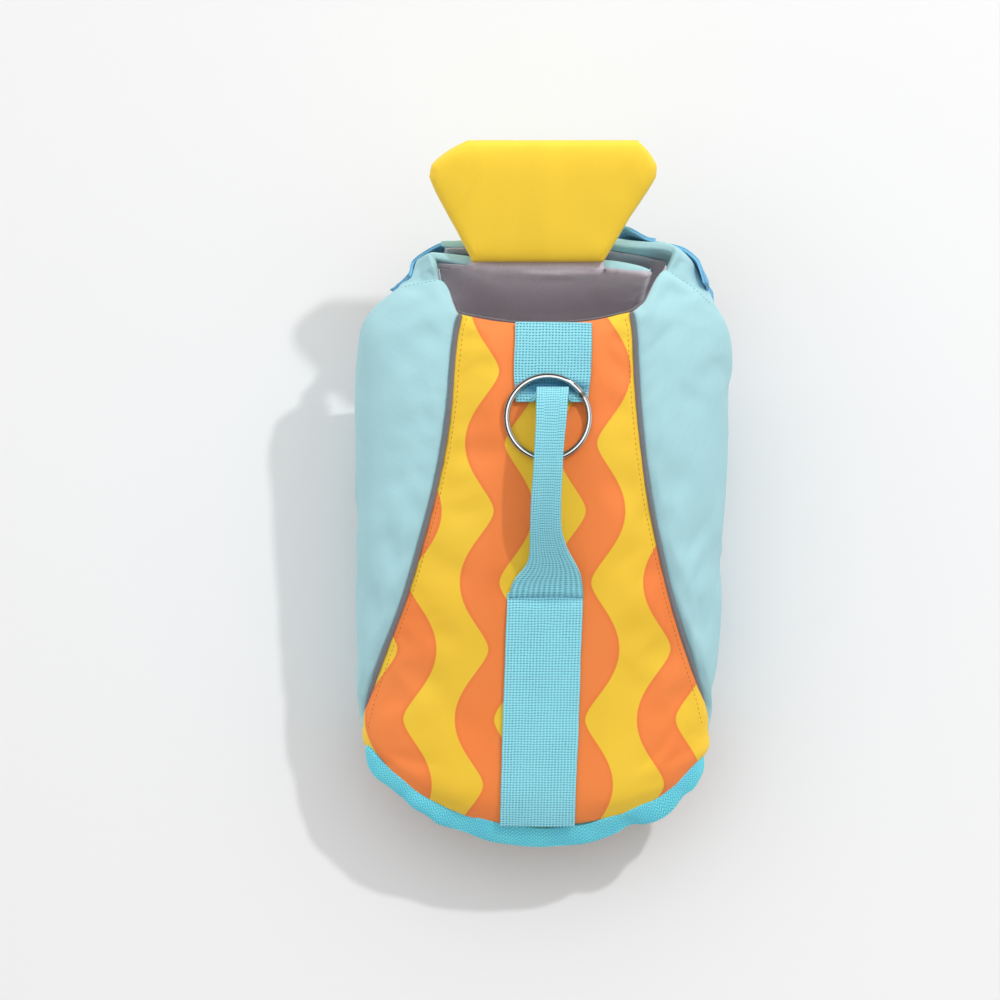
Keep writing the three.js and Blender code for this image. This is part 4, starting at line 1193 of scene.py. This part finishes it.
# Parts of a buckle as low and high corners: shares of its half length and half width, height in mm
BUCKLE_PARTS = [
    ((-0.7, -1, 0.2), (-0.1, 1, 4.9)),
    ((-1, -1, 0.4), (-0.66, -0.8, 4.2)),
    ((-1, 0.8, 0.4), (-0.66, 1, 4.2)),
    ((-1, -0.9, 0.8), (-0.86, 0.9, 3.8)),
    ((-0.14, -0.34, 0.6), (0.38, 0.34, 4.3)),
    ((-0.14, -0.8, 0.3), (0.38, -0.52, 4.1)),
    ((-0.14, 0.52, 0.3), (0.38, 0.8, 4.1)),
    ((0.34, -1, 0.2), (0.7, 1, 4.7)),
    ((0.66, -1, 0.4), (1, -0.8, 4.2)),
    ((0.66, 0.8, 0.4), (1, 1, 4.2)),
    ((0.86, -0.9, 0.8), (1, 0.9, 3.8)),
]
# Ribs across a buckle: place along it, height in mm and half width
RIBS = [
    (-0.58, 4.9, 0.62), (-0.47, 4.9, 0.62), (-0.36, 4.9, 0.62), (0.47, 4.7, 0.7), (0.56, 4.7, 0.7),
]


def make_block(low, high, round_by):
    bpy.ops.object.select_all(action="DESELECT")
    bpy.ops.mesh.primitive_cube_add(size=1)
    block = bpy.context.object
    low, high = np.array(low), np.array(high)
    edit(
        block,
        lambda: bpy.ops.transform.resize(value=tuple((high - low) * MM)),
        lambda: bpy.ops.transform.translate(value=tuple((high + low) / 2 * MM)),
        lambda: bpy.ops.mesh.bevel(offset=round_by * MM, segments=3, affect="EDGES"),
    )
    return block


def make_buckles():
    for node, (middle, along, out, length, width) in BUCKLES.items():
        size = np.array((length, width, 1))
        blocks = [make_block(low * size, high * size, 0.6) for low, high in np.array(BUCKLE_PARTS)]
        for x, top, half in RIBS:
            blocks.append(make_block((x * length - 0.35, -half * width, top - 0.4),
                                     (x * length + 0.35, half * width, top + 0.35), 0.25))
        select(*blocks)
        bpy.ops.object.join()
        piece = bpy.context.object
        piece.name = piece.data.name = node + "_body"
        out = Vector(out).normalized()
        across = out.cross(Vector(along)).normalized()
        turn = Matrix((across.cross(out), across, out)).transposed().to_4x4()
        piece.data.transform(Matrix.Translation(Vector(middle) * MM) @ turn)
        edit(piece, lambda: bpy.ops.mesh.normals_make_consistent(inside=False))
        piece.data.materials.append(PLASTIC)
        finish(piece, PLASTIC, "jacket", "buckle_plastic", node, smooth=30)


# Lines of stitches, as x and y in mm
HEM_ROW = [
    (-93.1, -128.0), (-89.0, -132.0), (-82.4, -138.2), (-72.7, -145.6), (-63.0, -152.0),
    (-53.3, -156.6), (-40.0, -162.5), (-22.6, -167.3), (16.2, -168.8), (24.9, -168.3),
    (32.5, -166.1), (45.3, -161.7), (59.6, -155.3), (67.3, -150.9), (77.0, -142.8),
    (81.6, -139.2),
]
SHOULDER_ROWS = [[(-74, 105), (-64, 106.8), (-53, 108.6)], [(63.5, 112.5), (74, 106), (85, 96.5)]]


def stitched(points, below, gap=1.5):
    """Places on the cloth straight below a line of x and y, in mm."""
    line = np.array(points, float)
    steps = np.concatenate([[0], np.cumsum(np.linalg.norm(np.diff(line, axis=0), axis=1))])
    run = []
    for far in np.arange(0, steps[-1], gap):
        x, y = (np.interp(far, steps, line[:, axis]) * MM for axis in (0, 1))
        place, normal = below(x, y)
        if place is not None:
            run.append((place, normal))
    return run


def make_stitches(panels, pads, straps):
    on_back = surface_of(panels["back_panel"])
    rows = []
    for column, inwards in ((1, 3.2), (2, -3.2)):
        rows.append([(row[column] + 0.4 + inwards, row[0] - 1.4) for row in PIPING_ROWS[:-1]])
    stitch_row("print_stitches", [stitched(row, on_back) for row in rows],
               GOLD_THREAD, "printed_cloth", length=1.5, pitch=2.6, thick=0.34)
    on_hem = surface_of(straps["hem_binding"])
    stitch_row("hem_stitches", [stitched(HEM_ROW, on_hem)],
               AQUA_THREAD, "webbing", length=1.7, pitch=2.5, thick=0.36)
    on_shoulders = surface_of(panels["side_panel_left"], panels["side_panel_right"], *pads)
    stitch_row("shoulder_stitches", [stitched(row, on_shoulders) for row in SHOULDER_ROWS],
               DARK_THREAD, "side_cloth", length=1.3, pitch=2.3, thick=0.34)


set_stage()
panels = make_panels()
make_float()
pads = make_chest()
straps = make_straps()
make_cords()
make_ring()
make_buckles()
make_stitches(panels, pads, straps)
